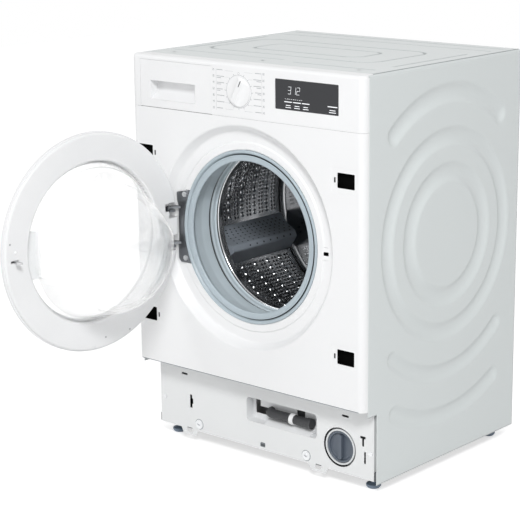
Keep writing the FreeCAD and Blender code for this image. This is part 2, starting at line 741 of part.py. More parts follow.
def fascia():
    """Moulded control panel: thin shell, open behind and below, with openings for what it carries."""
    back = Y_FRONT + FASCIA_TOP_RETURN
    outer = wrapped_form(0.0, back, FASCIA_LOW, CAB_H, FASCIA_EDGE_R)
    inner = wrapped_form(FASCIA_WALL, back + 1, FASCIA_LOW - 1, CAB_H - FASCIA_WALL, FASCIA_EDGE_R - FASCIA_WALL)
    shell = outer.cut(inner)
    side_return = Y_FRONT + FRONT_RETURN
    for x0, x1 in ((-HALF_W - 1, -HALF_W + CORNER_R), (HALF_W - CORNER_R, HALF_W + 1)):
        shell = shell.cut(box(x0, x1, side_return, back + 1, FASCIA_LOW - 1, CAB_H - FASCIA_WALL))
    wall = (Y_FRONT - 1, Y_FRONT + FASCIA_WALL + 1)
    shell = shell.cut(box(DRAWER_X0 - SEAM, DRAWER_X1 + SEAM, *wall, FASCIA_LOW - 1, DRAWER_TOP + SEAM))
    shell = shell.cut(disc_y(KNOB_X, KNOB_Z, KNOB_SHAFT_R + 4, *wall))
    return shell.cut(slab(DISPLAY_X0, DISPLAY_X1, *wall, DISPLAY_LOW, DISPLAY_TOP, DISPLAY_R, Y))


def display_window():
    """Dark glass flush with the fascia."""
    return slab(DISPLAY_X0, DISPLAY_X1, Y_FRONT, Y_FRONT + FASCIA_WALL, DISPLAY_LOW, DISPLAY_TOP, DISPLAY_R, Y)


def control_module():
    """Boxed circuit board behind the fascia, holding the display and the knob's encoder."""
    y0 = Y_FRONT + FASCIA_WALL
    body = slab(KNOB_X - MODULE_LEFT, DISPLAY_X1 + MODULE_RIGHT, y0, y0 + MODULE_DEEP,
                DISPLAY_LOW - MODULE_BELOW, DISPLAY_TOP + MODULE_ABOVE, 4, Y)
    bore = disc_y(KNOB_X, KNOB_Z, KNOB_SHAFT_R + RUN_FIT, y0 - 1, y0 + MODULE_DEEP - 6)
    count = int((DISPLAY_W - VENT_W) // VENT_PITCH)
    vents = []
    for k in range(count + 1):
        x = DISPLAY_X0 + VENT_PITCH * k
        vents.append(box(x, x + VENT_W, y0 + 8, y0 + MODULE_DEEP + 1, DISPLAY_TOP, DISPLAY_TOP + MODULE_ABOVE + 1))
    return body.cut([bore] + vents)


def programme_knob():
    """Round knob with a grip ridge left standing between two scooped flanks."""
    y0 = Y_FRONT - SEAM
    profile = outline([complex(0, 0), complex(KNOB_R, 0), complex(KNOB_R, KNOB_BASE_H),
                       complex(KNOB_R - 6, KNOB_H), complex(0, KNOB_H)],
                      [0, 1.0, 2.5, 4.0, 0], lambda p: V(KNOB_X + p.real, y0 - p.imag, KNOB_Z))
    knob = profile.revolve(V(KNOB_X, 0, KNOB_Z), Y, 360)
    for side in (-1, 1):
        x = KNOB_X + side * (KNOB_GRIP / 2 + KNOB_SCOOP_R)
        knob = knob.cut(Part.makeCylinder(KNOB_SCOOP_R, 4 * KNOB_R,
                                          V(x, y0 - KNOB_BASE_H - KNOB_SCOOP_R, KNOB_Z - 2 * KNOB_R), Z))
    shaft = disc_y(KNOB_X, KNOB_Z, KNOB_SHAFT_R, y0, Y_FRONT + FASCIA_WALL + MODULE_DEEP - 7)
    knob = joined(knob, shaft)
    knob.rotate(V(KNOB_X, 0, KNOB_Z), Y, KNOB_TILT)
    return knob


# Detergent drawer and its housing


def pull_profile(margin):
    """Section of the finger recess: deep under its top edge, running out at the bottom."""
    deep = PULL_DEEP + margin
    return [complex(-1, PULL_LOW - margin), complex(-1, PULL_TOP + margin),
            complex(deep, PULL_TOP - 2 + margin), complex(deep, PULL_TOP - 20),
            complex(4 + margin, PULL_LOW - margin)]


def pull_solid(margin, x0, x1):
    face = outline(pull_profile(margin), [0, 0, 3, 12, 3], lambda p: V(x0, Y_FRONT + p.real, p.imag))
    return face.extrude(V(x1 - x0, 0, 0))


def drawer_front():
    """Front of the drawer with a moulded finger recess."""
    plate = box(DRAWER_X0, DRAWER_X1, Y_FRONT, Y_FRONT + DRAWER_WALL, FASCIA_LOW + SEAM, DRAWER_TOP)
    cup = pull_solid(DRAWER_WALL, PULL_X0 - DRAWER_WALL, PULL_X1 + DRAWER_WALL)
    cup = cup.cut(box(-CAB_W, CAB_W, Y_FRONT - 9, Y_FRONT, 0, CAB_H))
    return plate.fuse(cup).cut(pull_solid(0, PULL_X0, PULL_X1)).removeSplitter()


def drawer_tray():
    """Open tray with three compartments behind the drawer front."""
    x0, x1 = DRAWER_X0 + TRAY_SIDE, DRAWER_X1 - TRAY_SIDE
    y0, y1 = Y_FRONT + DRAWER_WALL, Y_FRONT + TRAY_LEN
    wall_y = Y_FRONT + PULL_DEEP + 2 * DRAWER_WALL
    z0, z1 = TRAY_LOW, TRAY_LOW + TRAY_H
    tray = box(x0, x1, y0, y1, z0, z1)
    tray = tray.cut(box(x0 + TRAY_WALL, x1 - TRAY_WALL, y0 - 1, wall_y, z0 + TRAY_WALL, z1 + 1))
    third = (x1 - x0 - 4 * TRAY_WALL) / 3
    for k in range(3):
        left = x0 + TRAY_WALL + k * (third + TRAY_WALL)
        tray = tray.cut(slab(left, left + third, wall_y + TRAY_WALL, y1 - TRAY_WALL,
                             z0 + TRAY_WALL, z1 + 1, 6, Z))
    return tray


def drawer_siphon():
    """Cover of the softener compartment, resting on the tray floor, with its siphon tube."""
    x0 = DRAWER_X0 + TRAY_SIDE + TRAY_WALL
    third = (DRAWER_X1 - DRAWER_X0 - 2 * TRAY_SIDE - 4 * TRAY_WALL) / 3
    y1 = Y_FRONT + TRAY_LEN - TRAY_WALL
    mid_x = x0 + third / 2
    lid = slab(x0 + 2, x0 + third - 2, y1 - 90, y1 - 4, TRAY_LOW + 40, TRAY_LOW + 43, 5, Z)
    stem = disc_z(mid_x, y1 - 30, 8, TRAY_LOW + TRAY_WALL, TRAY_LOW + 40)
    return joined(lid, stem)


def dispenser_housing():
    """Box that the drawer runs in, hung behind the fascia, with runners, a spout and a water inlet."""
    x0, x1 = DRAWER_X0 + HOUSING_SIDE, HOUSING_X1
    y0, y1 = Y_FRONT + FASCIA_WALL, Y_FRONT + TRAY_LEN + 18
    floor, roof = HOUSING_LOW, DRAWER_TOP + HOUSING_WALL
    t = HOUSING_WALL
    body = box(x0, x1, y0, y1, floor, roof)
    body = body.cut(box(x0 + t, x1 - t, y0 - 1, y1 - t, floor + t, roof - t))
    flange = box(DRAWER_X0 - 6, DRAWER_X1 + 6, y0, y0 + 3, floor, roof + 0.5)
    flange = flange.cut(box(x0 + t, x1 - t, y0 - 1, y0 + 4, floor + t, roof - t))
    runner_top = TRAY_LOW - 0.3
    runners = [box(x, x + 8, y0 + 3, y1 - t, floor + t, runner_top) for x in (x0 + 16, x1 - 24)]
    inlet = disc_y(x0 + 40, roof - 12, 8, y1, y1 + 16)
    return joined(body, flange, inlet, *runners)


def fill_hose():
    """Short bellows from the dispenser floor down to the tub."""
    x = (DRAWER_X0 + DRAWER_X1) / 2 + 20
    y = Y_FRONT + TRAY_LEN - 10
    top = HOUSING_LOW
    column = disc_z(x, y, 17, AXIS_Z, top)
    for k in range(3):
        column = column.fuse(disc_z(x, y, 20, top - 10 - 9 * k, top - 6 - 9 * k))
    return column.cut(disc_y(0, AXIS_Z, TUB_OUT_R, Y_FRONT, Y_REAR)).removeSplitter()


# Front panel


def front_panel():
    """Steel front wrapped round both corners, dished round the porthole."""
    mid = SHEET / 2
    x = HALF_W - mid
    plan = ribbon([complex(-x, Y_FRONT + FRONT_RETURN), complex(-x, Y_FRONT + mid),
                   complex(x, Y_FRONT + mid), complex(x, Y_FRONT + FRONT_RETURN)],
                  [CORNER_R - mid, CORNER_R - mid], SHEET, lambda p: V(p.real, p.imag, FRONT_LOW))
    sheet = plan.extrude(V(0, 0, FASCIA_LOW - SEAM - FRONT_LOW))
    lip = box(-HALF_W + CORNER_R, HALF_W - CORNER_R, Y_FRONT + mid, PLINTH_Y + 12, FRONT_LOW, FRONT_LOW + SHEET)
    rim_r = DISH_RIM_R + 2 * DISH_ROLL
    sheet = sheet.fuse(lip).cut(disc_y(0, AXIS_Z, rim_r, Y_FRONT - 1, Y_FRONT + 2))
    collar = COLLAR_R + mid
    floor, bead = DISH_DEEP + mid, DISH_DEEP + mid - DISH_BEAD_H
    dish = ribbon([complex(rim_r, mid), complex(DISH_RIM_R, mid), complex(DISH_FOOT_R, floor),
                   complex(DISH_BEAD_R + DISH_BEAD_H, floor), complex(DISH_BEAD_R, bead),
                   complex(collar, bead), complex(collar, DISH_DEEP + COLLAR_LEN)],
                  [DISH_ROLL, DISH_FOOT_ROLL, 2.0, 2.0, 2.0], SHEET, front_section)
    panel = sheet.fuse(turned(dish))
    for x_cut in (CUT_LEFT_X, CUT_X):
        for z_cut in (CUT_LOWER_Z, CUT_UPPER_Z):
            panel = furniture_cut(panel, x_cut, z_cut)
    window = box(WINDOW_X0, 0, Y_FRONT + 8, Y_FRONT + DISH_DEEP + 3,
                 AXIS_Z - WINDOW_H / 2, AXIS_Z + WINDOW_H / 2)
    window = window.cut(disc_y(0, AXIS_Z, COLLAR_R + 8, Y_FRONT, Y_FRONT + 40))
    slot = slab(HOOK_X - SLOT_W / 2, HOOK_X + SLOT_W / 2, Y_FRONT + 6, Y_FRONT + DISH_DEEP + 3,
                SLOT_Z - SLOT_H / 2, SLOT_Z + SLOT_H / 2, 2, Y)
    return panel.cut([window, slot]).removeSplitter()


def furniture_cut(panel, x, z):
    """One hinge opening with its side slot, in a shallow pressed pad."""
    w, h = CUT_W / 2 + CUT_PAD, CUT_H / 2 + CUT_PAD
    slot_x = x - math.copysign(CUT_SLOT_IN, x)
    inboard = slot_x - math.copysign(CUT_PAD, x)
    outboard = x + math.copysign(min(w, HALF_W - CORNER_R - abs(x)), x)
    x0, x1 = sorted((inboard, outboard))
    pad = slab(x0, x1, Y_FRONT - 1, Y_FRONT + CUT_PAD_STEP, z - h, z + h, 5, Y)
    back = slab(x0, x1, Y_FRONT + SHEET, Y_FRONT + SHEET + CUT_PAD_STEP, z - h, z + h, 5, Y)
    hole = slab(x - CUT_W / 2, x + CUT_W / 2, Y_FRONT - 2, Y_FRONT + 4, z - CUT_H / 2, z + CUT_H / 2, 2, Y)
    slot = box(slot_x - CUT_SLOT_W / 2, slot_x + CUT_SLOT_W / 2, Y_FRONT - 2, Y_FRONT + 4,
               z - CUT_SLOT_H / 2, z + CUT_SLOT_H / 2)
    return panel.cut(pad).fuse(back).cut([hole, slot])


def front_crossbar():
    """Angle section tying the side panels behind the joint of fascia and front panel."""
    z1 = FASCIA_LOW - SEAM
    y0 = Y_FRONT + SHEET
    y1 = Y_FRONT + CROSSBAR_DEEP
    upright = box(-IN_X + CORNER_R, IN_X - CORNER_R, y0, y0 + CROSSBAR_T, z1 - CROSSBAR_H, z1)
    shelf = box(-IN_X, IN_X, Y_FRONT + CORNER_R + SHEET, y1, z1 - CROSSBAR_T, z1)
    middle = box(-IN_X + CORNER_R, IN_X - CORNER_R, y0, y1, z1 - CROSSBAR_T, z1)
    return joined(upright, shelf, middle)


# Door hinge on the cabinet


def hinge_levels():
    """Lower and upper spans of the bracket knuckles and of the door knuckles inside them."""
    half = LUG_SPREAD / 2
    fixed = [(AXIS_Z - half, AXIS_Z - half + KNUCKLE_H), (AXIS_Z + half - KNUCKLE_H, AXIS_Z + half)]
    moving = [(fixed[0][1] + SEAM, fixed[0][1] + SEAM + ARM_H), (fixed[1][0] - SEAM - ARM_H, fixed[1][0] - SEAM)]
    return fixed, moving


def hinge_bracket():
    """Cast plate behind the window in the dish, with two knuckles that carry the pin."""
    y0 = Y_FRONT + DISH_DEEP + SHEET
    plate = slab(BRACKET_X0, 0, y0, y0 + BRACKET_T, AXIS_Z - BRACKET_H / 2, AXIS_Z + BRACKET_H / 2, 10, Y)
    plate = plate.cut(disc_y(0, AXIS_Z, COLLAR_R + 4, y0 - 1, y0 + 20))
    plate = plate.cut(box(-CAB_W, CAB_W, y0 - 1, y0 + 20, -1, CAB_H).cut(
        disc_y(0, AXIS_Z, -BRACKET_X0 + 2, y0 - 2, y0 + 21)))
    holes = [disc_y(BRACKET_SCREW_X, AXIS_Z + s * BRACKET_SCREW_Z, SCREW_R, y0 - 1, y0 + 20) for s in (-1, 1)]
    lugs = []
    for z0, z1 in hinge_levels()[0]:
        web = Part.Face(Part.makePolygon([V(HINGE_X - KNUCKLE_R, HINGE_Y, z0), V(HINGE_X + KNUCKLE_R, HINGE_Y, z0),
                                          V(HINGE_X + 19, y0, z0), V(HINGE_X - 1, y0, z0),
                                          V(HINGE_X - KNUCKLE_R, HINGE_Y, z0)])).extrude(V(0, 0, z1 - z0))
        lugs += [web, disc_z(HINGE_X, HINGE_Y, KNUCKLE_R, z0, z1)]
    bore = disc_z(HINGE_X, HINGE_Y, HINGE_PIN_R, AXIS_Z - LUG_SPREAD, AXIS_Z + LUG_SPREAD)
    return joined(plate, *lugs).cut(holes + [bore])


def hinge_screws():
    """Two pan-head screws that hold the bracket."""
    y0 = Y_FRONT + DISH_DEEP + SHEET
    screws = []
    for side in (-1, 1):
        z = AXIS_Z + side * BRACKET_SCREW_Z
        shank = disc_y(BRACKET_SCREW_X, z, SCREW_R, y0, y0 + 14)
        head = disc_y(BRACKET_SCREW_X, z, BRACKET_SCREW_R, y0 - 2.4, y0)
        cross = [box(BRACKET_SCREW_X - a, BRACKET_SCREW_X + a, y0 - 3, y0 - 1.2, z - b, z + b)
                 for a, b in ((0.6, 3.0), (3.0, 0.6))]
        screws.append(joined(shank, head).cut(cross))
    return screws


def hinge_pin():
    return disc_z(HINGE_X, HINGE_Y, HINGE_PIN_R, AXIS_Z - LUG_SPREAD / 2 - 1, AXIS_Z + LUG_SPREAD / 2 + 1)


def door_lock():
    """Interlock behind the slot in the dish."""
    y0 = Y_FRONT + DISH_DEEP + SHEET
    body = slab(COLLAR_R + 6, DISH_FOOT_R, y0, y0 + LOCK_DEEP, SLOT_Z - 46, SLOT_Z + 46, 4, Y)
    plug = box(DISH_FOOT_R - 14, DISH_FOOT_R - 4, y0 + LOCK_DEEP, y0 + LOCK_DEEP + 10, SLOT_Z - 30, SLOT_Z + 6)
    pocket = box(HOOK_X - SLOT_W / 2, HOOK_X + SLOT_W / 2, y0 - 1, y0 + LOCK_DEEP - 5,
                 HOOK_Z - LOCK_MOUTH / 2, HOOK_Z + LOCK_MOUTH / 2)
    return joined(body, plug).cut(pocket)


# Door, drawn closed


def hinge_notch():
    """Room in the door for the bracket knuckles over the whole swing."""
    fixed, moving = hinge_levels()
    y0, y1 = Y_FRONT - 8.5, Y_FRONT + DOOR_FACE_DEEP + 1
    cuts = []
    for (f0, f1), (m0, m1) in zip(fixed, moving):
        cuts.append(box(HINGE_X - 22, HINGE_X + KNUCKLE_R + 3, y0, y1, min(f0, m0) - 2, max(f1, m1) + 2))
        cuts.append(box(HINGE_X - 22, HINGE_X + 20, y0, y1, f0 - 2, f1 + 0.4))
    return cuts


def swung(shape):
    """Opens a piece of the door to the pose shown."""
    shape.rotate(V(HINGE_X, HINGE_Y, 0), Z, -DOOR_OPEN)
    return shape


def door_outer_ring():
    """Crowned front ring of the door, its inner land carrying the glass."""
    half = DOOR_SKIN / 2
    skirt = DOOR_R - half
    land = DOOR_LAND_DEEP - half
    section = ribbon([complex(skirt, 6), complex(skirt, -1), complex(skirt - 16, -8),
                      complex(skirt - 38, -DOOR_CROWN), complex(DOOR_EYE_R + 10, -DOOR_CROWN),
                      complex(DOOR_EYE_R + 4, land), complex(DOOR_MOUTH_R, land)],
                     [3, 25, 40, 3, 3], DOOR_SKIN, front_section)
    return swung(turned(section).cut(hinge_notch()))


def door_inner_ring():
    """Flat inner ring, boxed against the outer ring, with the seat of the catch and the hinge notch."""
    half = DOOR_SKIN / 2
    wall_in = DOOR_EYE_R + half
    wall_out = DOOR_R - DOOR_SKIN - half
    face = DOOR_FACE_DEEP - half
    section = ribbon([complex(wall_in, DOOR_LAND_DEEP), complex(wall_in, face), complex(wall_out, face),
                      complex(wall_out, 2)], [3, 3.5], DOOR_SKIN, front_section)
    ring = turned(section).cut(hinge_notch())
    y_in = Y_FRONT + DOOR_FACE_DEEP - DOOR_SKIN
    for side in (-1, 1):
        z = HOOK_Z + side * (HOOK_T / 2 + 0.4 + 3)
        post = box(HOOK_X - 6, HOOK_X + 6, Y_FRONT + HOOK_PIVOT_DEEP - 5, y_in, z - 3, z + 3)
        ring = ring.fuse(post)
    slit = box(HOOK_X - 9, HOOK_X + 9, y_in - 1, Y_FRONT + DOOR_FACE_DEEP + 1,
               HOOK_Z - HOOK_T / 2 - 0.4, HOOK_Z + HOOK_T / 2 + 0.4)
    bore = disc_z(HOOK_X, Y_FRONT + HOOK_PIVOT_DEEP, HOOK_PIN_R + RUN_FIT, HOOK_Z - 20, HOOK_Z + 20)
    return swung(ring.cut([slit, bore]).removeSplitter())


def door_glass():
    """Tapered glass bowl whose rim is clamped between the two rings."""
    half = GLASS_T / 2
    tip = GLASS_TIP_DEEP - half
    section = ribbon([complex(GLASS_RIM_R, DOOR_LAND_DEEP), complex(GLASS_RIM_R, GLASS_STEP_DEEP - 3),
                      complex(GLASS_RIM_R - GLASS_STEP_IN, GLASS_STEP_DEEP + 2),
                      complex(GLASS_TIP_R, tip - 4), complex(0.0, tip)],
                     [4, 4, GLASS_TIP_ROLL], GLASS_T, front_section)
    axis_side = box(0, CAB_W, Y_FRONT - 50, Y_FRONT + 300, AXIS_Z - 1, AXIS_Z + 1)
    return swung(turned(section.common(axis_side)))


def door_handle():
    """Finger grip set into the opening of the outer ring at its free side."""
    y0 = Y_FRONT + DOOR_LAND_DEEP - DOOR_SKIN
    x0 = DOOR_MOUTH_R - GRIP_W
    z0, z1 = AXIS_Z - GRIP_DROP - GRIP_H / 2, AXIS_Z - GRIP_DROP + GRIP_H / 2
    tongue = box(x0, DOOR_MOUTH_R + 5, y0, y0 + DOOR_SKIN, z0, z1)
    lip = slab(x0, x0 + GRIP_LIP, y0 - 4, y0 + DOOR_SKIN + 4, z0, z1, 1.5, Z)
    return swung(joined(tongue, lip).common(disc_y(0, AXIS_Z, DOOR_MOUTH_R, Y_FRONT - 50, Y_FRONT + 50)))


def door_hinge_arms():
    """Two cranked arms screwed to the inner face, each ending in a knuckle on the pin."""
    y_face = Y_FRONT + DOOR_FACE_DEEP
    arms = []
    for z0, z1 in hinge_levels()[1]:
        knuckle = disc_z(HINGE_X, HINGE_Y, KNUCKLE_R, z0, z1)
        web = box(HINGE_X - 4, HINGE_X + 4, HINGE_Y, y_face + ARM_T, z0, z1)
        leaf = slab(HINGE_X - 4, HINGE_X + ARM_REACH, y_face, y_face + ARM_T, z0, z1, 2, Y)
        arm = joined(knuckle, web, leaf)
        arms.append(arm.cut(disc_z(HINGE_X, HINGE_Y, HINGE_PIN_R + RUN_FIT, z0 - 1, z1 + 1)))
    return swung(Part.makeCompound(arms))


def door_hook():
    """Flat steel hook on its own small pin, standing out of the inner ring."""
    y_pivot = Y_FRONT + HOOK_PIVOT_DEEP
    z0, z1 = HOOK_Z - HOOK_T / 2, HOOK_Z + HOOK_T / 2
    tip = Y_FRONT + HOOK_REACH_DEEP
    blade = outline([complex(HOOK_X - 3.5, y_pivot), complex(HOOK_X - 3.5, tip), complex(HOOK_X, tip),
                     complex(HOOK_X + HOOK_NOSE, tip - 6), complex(HOOK_X + HOOK_NOSE, tip - 9),
                     complex(HOOK_X + 2.5, tip - 9), complex(HOOK_X + 2.5, y_pivot)],
                    [0, 1, 1, 1, 0, 0, 0], lambda p: V(p.real, p.imag, z0)).extrude(V(0, 0, HOOK_T))
    boss = disc_z(HOOK_X, y_pivot, HOOK_BOSS_R, z0, z1)
    pin = disc_z(HOOK_X, y_pivot, HOOK_PIN_R, HOOK_Z - 7.5, HOOK_Z + 7.5)
    return swung(joined(blade, boss, pin))


# Gasket, tub and drum


def gasket():
    """Rubber bellows from the dish collar to the tub mouth, with a lip for the glass and two folds by the drum."""
    foot = TUB_COLLAR_R - GASKET_T / 2
    wall, groove = GASKET_FOLD_R, GASKET_FOLD_R + GASKET_FOLD
    deep = TUB_MOUTH_DEEP
    section = ribbon([complex(GASKET_R, DISH_DEEP + COLLAR_LEN), complex(GASKET_R, DISH_DEEP - 2.5),
                      complex(GASKET_LIP_R, GASKET_LIP_DEEP), complex(wall - 1, deep - 42), complex(wall + 2, deep - 18),
                      complex(wall, deep - 1), complex(groove, deep + 2.5), complex(wall - 1.5, deep + 6),
                      complex(wall - 2, deep + 11), complex(groove - 2, deep + 13.5), complex(wall - 2, deep + 16.5),
                      complex(wall - 2, deep + 20.5), complex(foot, deep + 20.5), complex(foot, deep - TUB_MOUTH_LEN)],
                     [3, 2, 10, 30, 2, 2, 2, 2, 2, 2, 1.9, 3], GASKET_T, front_section)
    return turned(section)


def tub_section(p):
    return V(p.real, p.imag, AXIS_Z)


def tub_front():
    """Front half of the tub: mouth collar, front wall and shell, with a flange at the split."""
    half = TUB_WALL / 2
    mouth = TUB_COLLAR_R + half
    section = ribbon([complex(mouth, TUB_FRONT_Y - TUB_MOUTH_LEN), complex(mouth, TUB_FRONT_Y + half),
                      complex(TUB_R + half, TUB_FRONT_Y + half), complex(TUB_R + half, TUB_SPLIT_Y)],
                     [3, 6], TUB_WALL, tub_section)
    flange = ring_y(0, AXIS_Z, TUB_OUT_R, TUB_OUT_R + 8, TUB_SPLIT_Y - 6, TUB_SPLIT_Y)
    return joined(turned(section), flange)


def tub_rear():
    """Rear half: shell, ribbed back wall, bearing hub, and the lugs for springs, dampers and motor."""
    half = TUB_WALL / 2
    hub_r = BEARING_OUT_R + HUB_WALL
    section = ribbon([complex(TUB_R + half, TUB_SPLIT_Y), complex(TUB_R + half, TUB_BACK_Y + half),
                      complex(hub_r - 2, TUB_BACK_Y + half)], [12], TUB_WALL, tub_section)
    shell = turned(section)
    flange = ring_y(0, AXIS_Z, TUB_OUT_R, TUB_OUT_R + 8, TUB_SPLIT_Y, TUB_SPLIT_Y + 6)
    hub = disc_y(0, AXIS_Z, hub_r, TUB_BACK_Y, TUB_BACK_Y + HUB_LEN)
    ribs = []
    for k in range(8):
        rib = box(hub_r - 2, TUB_R - 8, TUB_BACK_Y + TUB_WALL, TUB_BACK_Y + TUB_WALL + 14,
                  AXIS_Z - 2, AXIS_Z + 2)
        rib.rotate(V(0, 0, AXIS_Z), Y, 45 * k + 22.5)
        ribs.append(rib)
    lug_x1 = SPRING_X + SPRING_COIL_R
    lug_low = SPRING_LUG_Z - SPRING_LUG_H
    lug_x0 = math.sqrt(TUB_R ** 2 - (SPRING_LUG_Z - AXIS_Z) ** 2) - TUB_WALL
    lug = box(lug_x0, lug_x1, SPRING_Y - 8, SPRING_Y + 8, lug_low, SPRING_LUG_Z)
    lugs = [lug, mirrored(lug)]
    damper_y = DAMPER_Y + DAMPER_EYE_W / 2
    for s in (-1, 1):
        x = s * DAMPER_TOP_X
        lugs.append(slab(x - DAMPER_LUG_W / 2, x + DAMPER_LUG_W / 2, damper_y, damper_y + DAMPER_LUG_T,
                         DAMPER_TOP_Z - DAMPER_EYE_R - 3, AXIS_Z - 150, 6, Y))
    motor_y = PULLEY_Y - 6 - MOTOR_LEN
    lugs.append(box(MOTOR_X - MOTOR_LUG_W / 2, MOTOR_X + MOTOR_LUG_W / 2, motor_y + 20, motor_y + 60,
                    MOTOR_Z + MOTOR_R + 6, AXIS_Z - TUB_R + 20))
    void = disc_y(0, AXIS_Z, TUB_R, TUB_SPLIT_Y - 1, TUB_BACK_Y)
    body = shell.fuse([flange, hub] + ribs + [lug.cut(void) for lug in lugs])
    bores = [disc_y(0, AXIS_Z, BEARING_OUT_R, TUB_BACK_Y - 1, TUB_BACK_Y + SEAL_W + BEARING_W),
             disc_y(0, AXIS_Z, SHAFT_R + 3, TUB_BACK_Y, TUB_BACK_Y + HUB_LEN + 1),
             disc_y(0, AXIS_Z, BEARING_OUT_R, TUB_BACK_Y + HUB_LEN - BEARING_W, TUB_BACK_Y + HUB_LEN + 1)]
    return body.cut(bores).removeSplitter()


def bearing(y0):
    """A sealed ball bearing as its closed ring."""
    ring = ring_y(0, AXIS_Z, SHAFT_R + RUN_FIT, BEARING_OUT_R, y0, y0 + BEARING_W)
    groove = ring_y(0, AXIS_Z, SHAFT_R + 5, BEARING_OUT_R - 5, y0 - 1, y0 + 1.5)
    return ring.cut(groove)


def shaft_seal():
    return ring_y(0, AXIS_Z, SHAFT_R + RUN_FIT, BEARING_OUT_R, TUB_BACK_Y, TUB_BACK_Y + SEAL_W)


def drum():
    """Stainless basket: rolled mouth, perforated shell and pressed back."""
    half = DRUM_SHEET / 2
    back = DRUM_BACK_Y - half
    section = ribbon([complex(DRUM_MOUTH_R + half, DRUM_FRONT_Y + DRUM_LIP), complex(DRUM_MOUTH_R + half, DRUM_FRONT_Y + half),
                      complex(DRUM_R - half, DRUM_FRONT_Y + 16), complex(DRUM_R - half, back),
                      complex(150.0, back), complex(110.0, back - 14), complex(SHAFT_R + 2, back - 14)],
                     [3, 10, 12, 16, 16], DRUM_SHEET, tub_section)
    basket = turned(section)
    span = DRUM_BACK_Y - DRUM_FRONT_Y - 80
    free_deg = 360.0 / LIFTERS - math.degrees(LIFTER_BASE / DRUM_R) - 14
    holes = []
    for sector in range(LIFTERS):
        middle = LIFTER_ANGLE + 180.0 / LIFTERS + 360.0 / LIFTERS * sector
        for column in range(HOLE_COLUMNS):
            for row in range(HOLE_ROWS):
                y = DRUM_FRONT_Y + 40 + span * (row + 0.5 * (column % 2)) / (HOLE_ROWS - 0.5)
                hole = disc_x(y, AXIS_Z, HOLE_R, DRUM_R - 6, DRUM_R + 6)
                hole.rotate(V(0, 0, AXIS_Z), -Y, middle + free_deg * (column / (HOLE_COLUMNS - 1) - 0.5))
                holes.append(hole)
    return basket.cut(holes)


def drum_lifters():
    """Hollow paddles standing on the inside of the drum shell."""
    inside = DRUM_R - DRUM_SHEET
    y0, y1 = DRUM_FRONT_Y + 16 + LIFTER_MARGIN, DRUM_BACK_Y - LIFTER_MARGIN
    section = outline([complex(-LIFTER_BASE / 2, inside + 6), complex(-LIFTER_BASE / 2, inside - 5),
                       complex(LIFTER_SKEW - LIFTER_BASE / 3, inside - LIFTER_HOLLOW),
                       complex(LIFTER_SKEW - LIFTER_TIP / 2, inside - LIFTER_H),
                       complex(LIFTER_SKEW + LIFTER_TIP / 2, inside - LIFTER_H),
                       complex(LIFTER_BASE / 2, inside - 10), complex(LIFTER_BASE / 2, inside + 6)],
                      [0, 4, 50, 5, 6, 10, 0], lambda p: V(p.imag, y0, AXIS_Z + p.real))
    paddle = section.extrude(V(0, y1 - y0, 0))
    slope = Part.Face(Part.makePolygon([V(0, y0 - 1, 0), V(0, y0 + 42, 0), V(inside - 12, y0 - 1, 0),
                                        V(0, y0 - 1, 0)])).extrude(V(0, 0, CAB_H))
    paddle = paddle.cut(slope).common(disc_y(0, AXIS_Z, inside, y0 - 1, y1 + 1))
    paddles = []
    for k in range(LIFTERS):
        one = paddle.copy()
        one.rotate(V(0, 0, AXIS_Z), -Y, LIFTER_ANGLE + 360.0 / LIFTERS * k)
        paddles.append(one)
    return Part.makeCompound(paddles)


def drum_spider():
    """Three-armed casting that carries the drum from behind."""
    y0 = DRUM_BACK_Y
    hub = disc_y(0, AXIS_Z, SPIDER_HUB_R, y0 - 14, y0 + SPIDER_T)
    arms = []
    for k in range(LIFTERS):
        arm = Part.makeLoft([Part.makePolygon([V(r, y, AXIS_Z + z) for y, z in
                                               ((y0, -w), (y0, w), (y0 + t, w), (y0 + t, -w), (y0, -w))])
                             for r, w, t in ((SPIDER_HUB_R - 8, SPIDER_ARM_W / 2, SPIDER_T),
                                             (DRUM_R - 14, SPIDER_ARM_W / 3, 8.0))], True)
        arm.rotate(V(0, 0, AXIS_Z), -Y, LIFTER_ANGLE + 360.0 / LIFTERS * k)
        arms.append(arm)
    bore = disc_y(0, AXIS_Z, SHAFT_R, y0 - 20, y0 + SPIDER_T + 1)
    return joined(hub, *arms).cut(bore)


def drum_shaft():
    """Shaft from the spider through both bearings to the pulley, its end tapped for the pulley bolt."""
    shaft = disc_y(0, AXIS_Z, SHAFT_R, DRUM_BACK_Y - 13, SHAFT_END_Y - 6)
    return shaft.cut(disc_y(0, AXIS_Z, 5, SHAFT_END_Y - 40, SHAFT_END_Y))


def pulley_bolt():
    shank = disc_y(0, AXIS_Z, 5, SHAFT_END_Y - 38, SHAFT_END_Y - 6)
    washer = disc_y(0, AXIS_Z, SHAFT_R + 5, SHAFT_END_Y - 6, SHAFT_END_Y - 4)
    head = Part.Face(Part.makePolygon([V(9 * math.cos(math.pi / 3 * k), SHAFT_END_Y - 4,
                                         AXIS_Z + 9 * math.sin(math.pi / 3 * k)) for k in range(7)]))
    return joined(shank, washer, head.extrude(V(0, 7, 0)))


# Belt drive


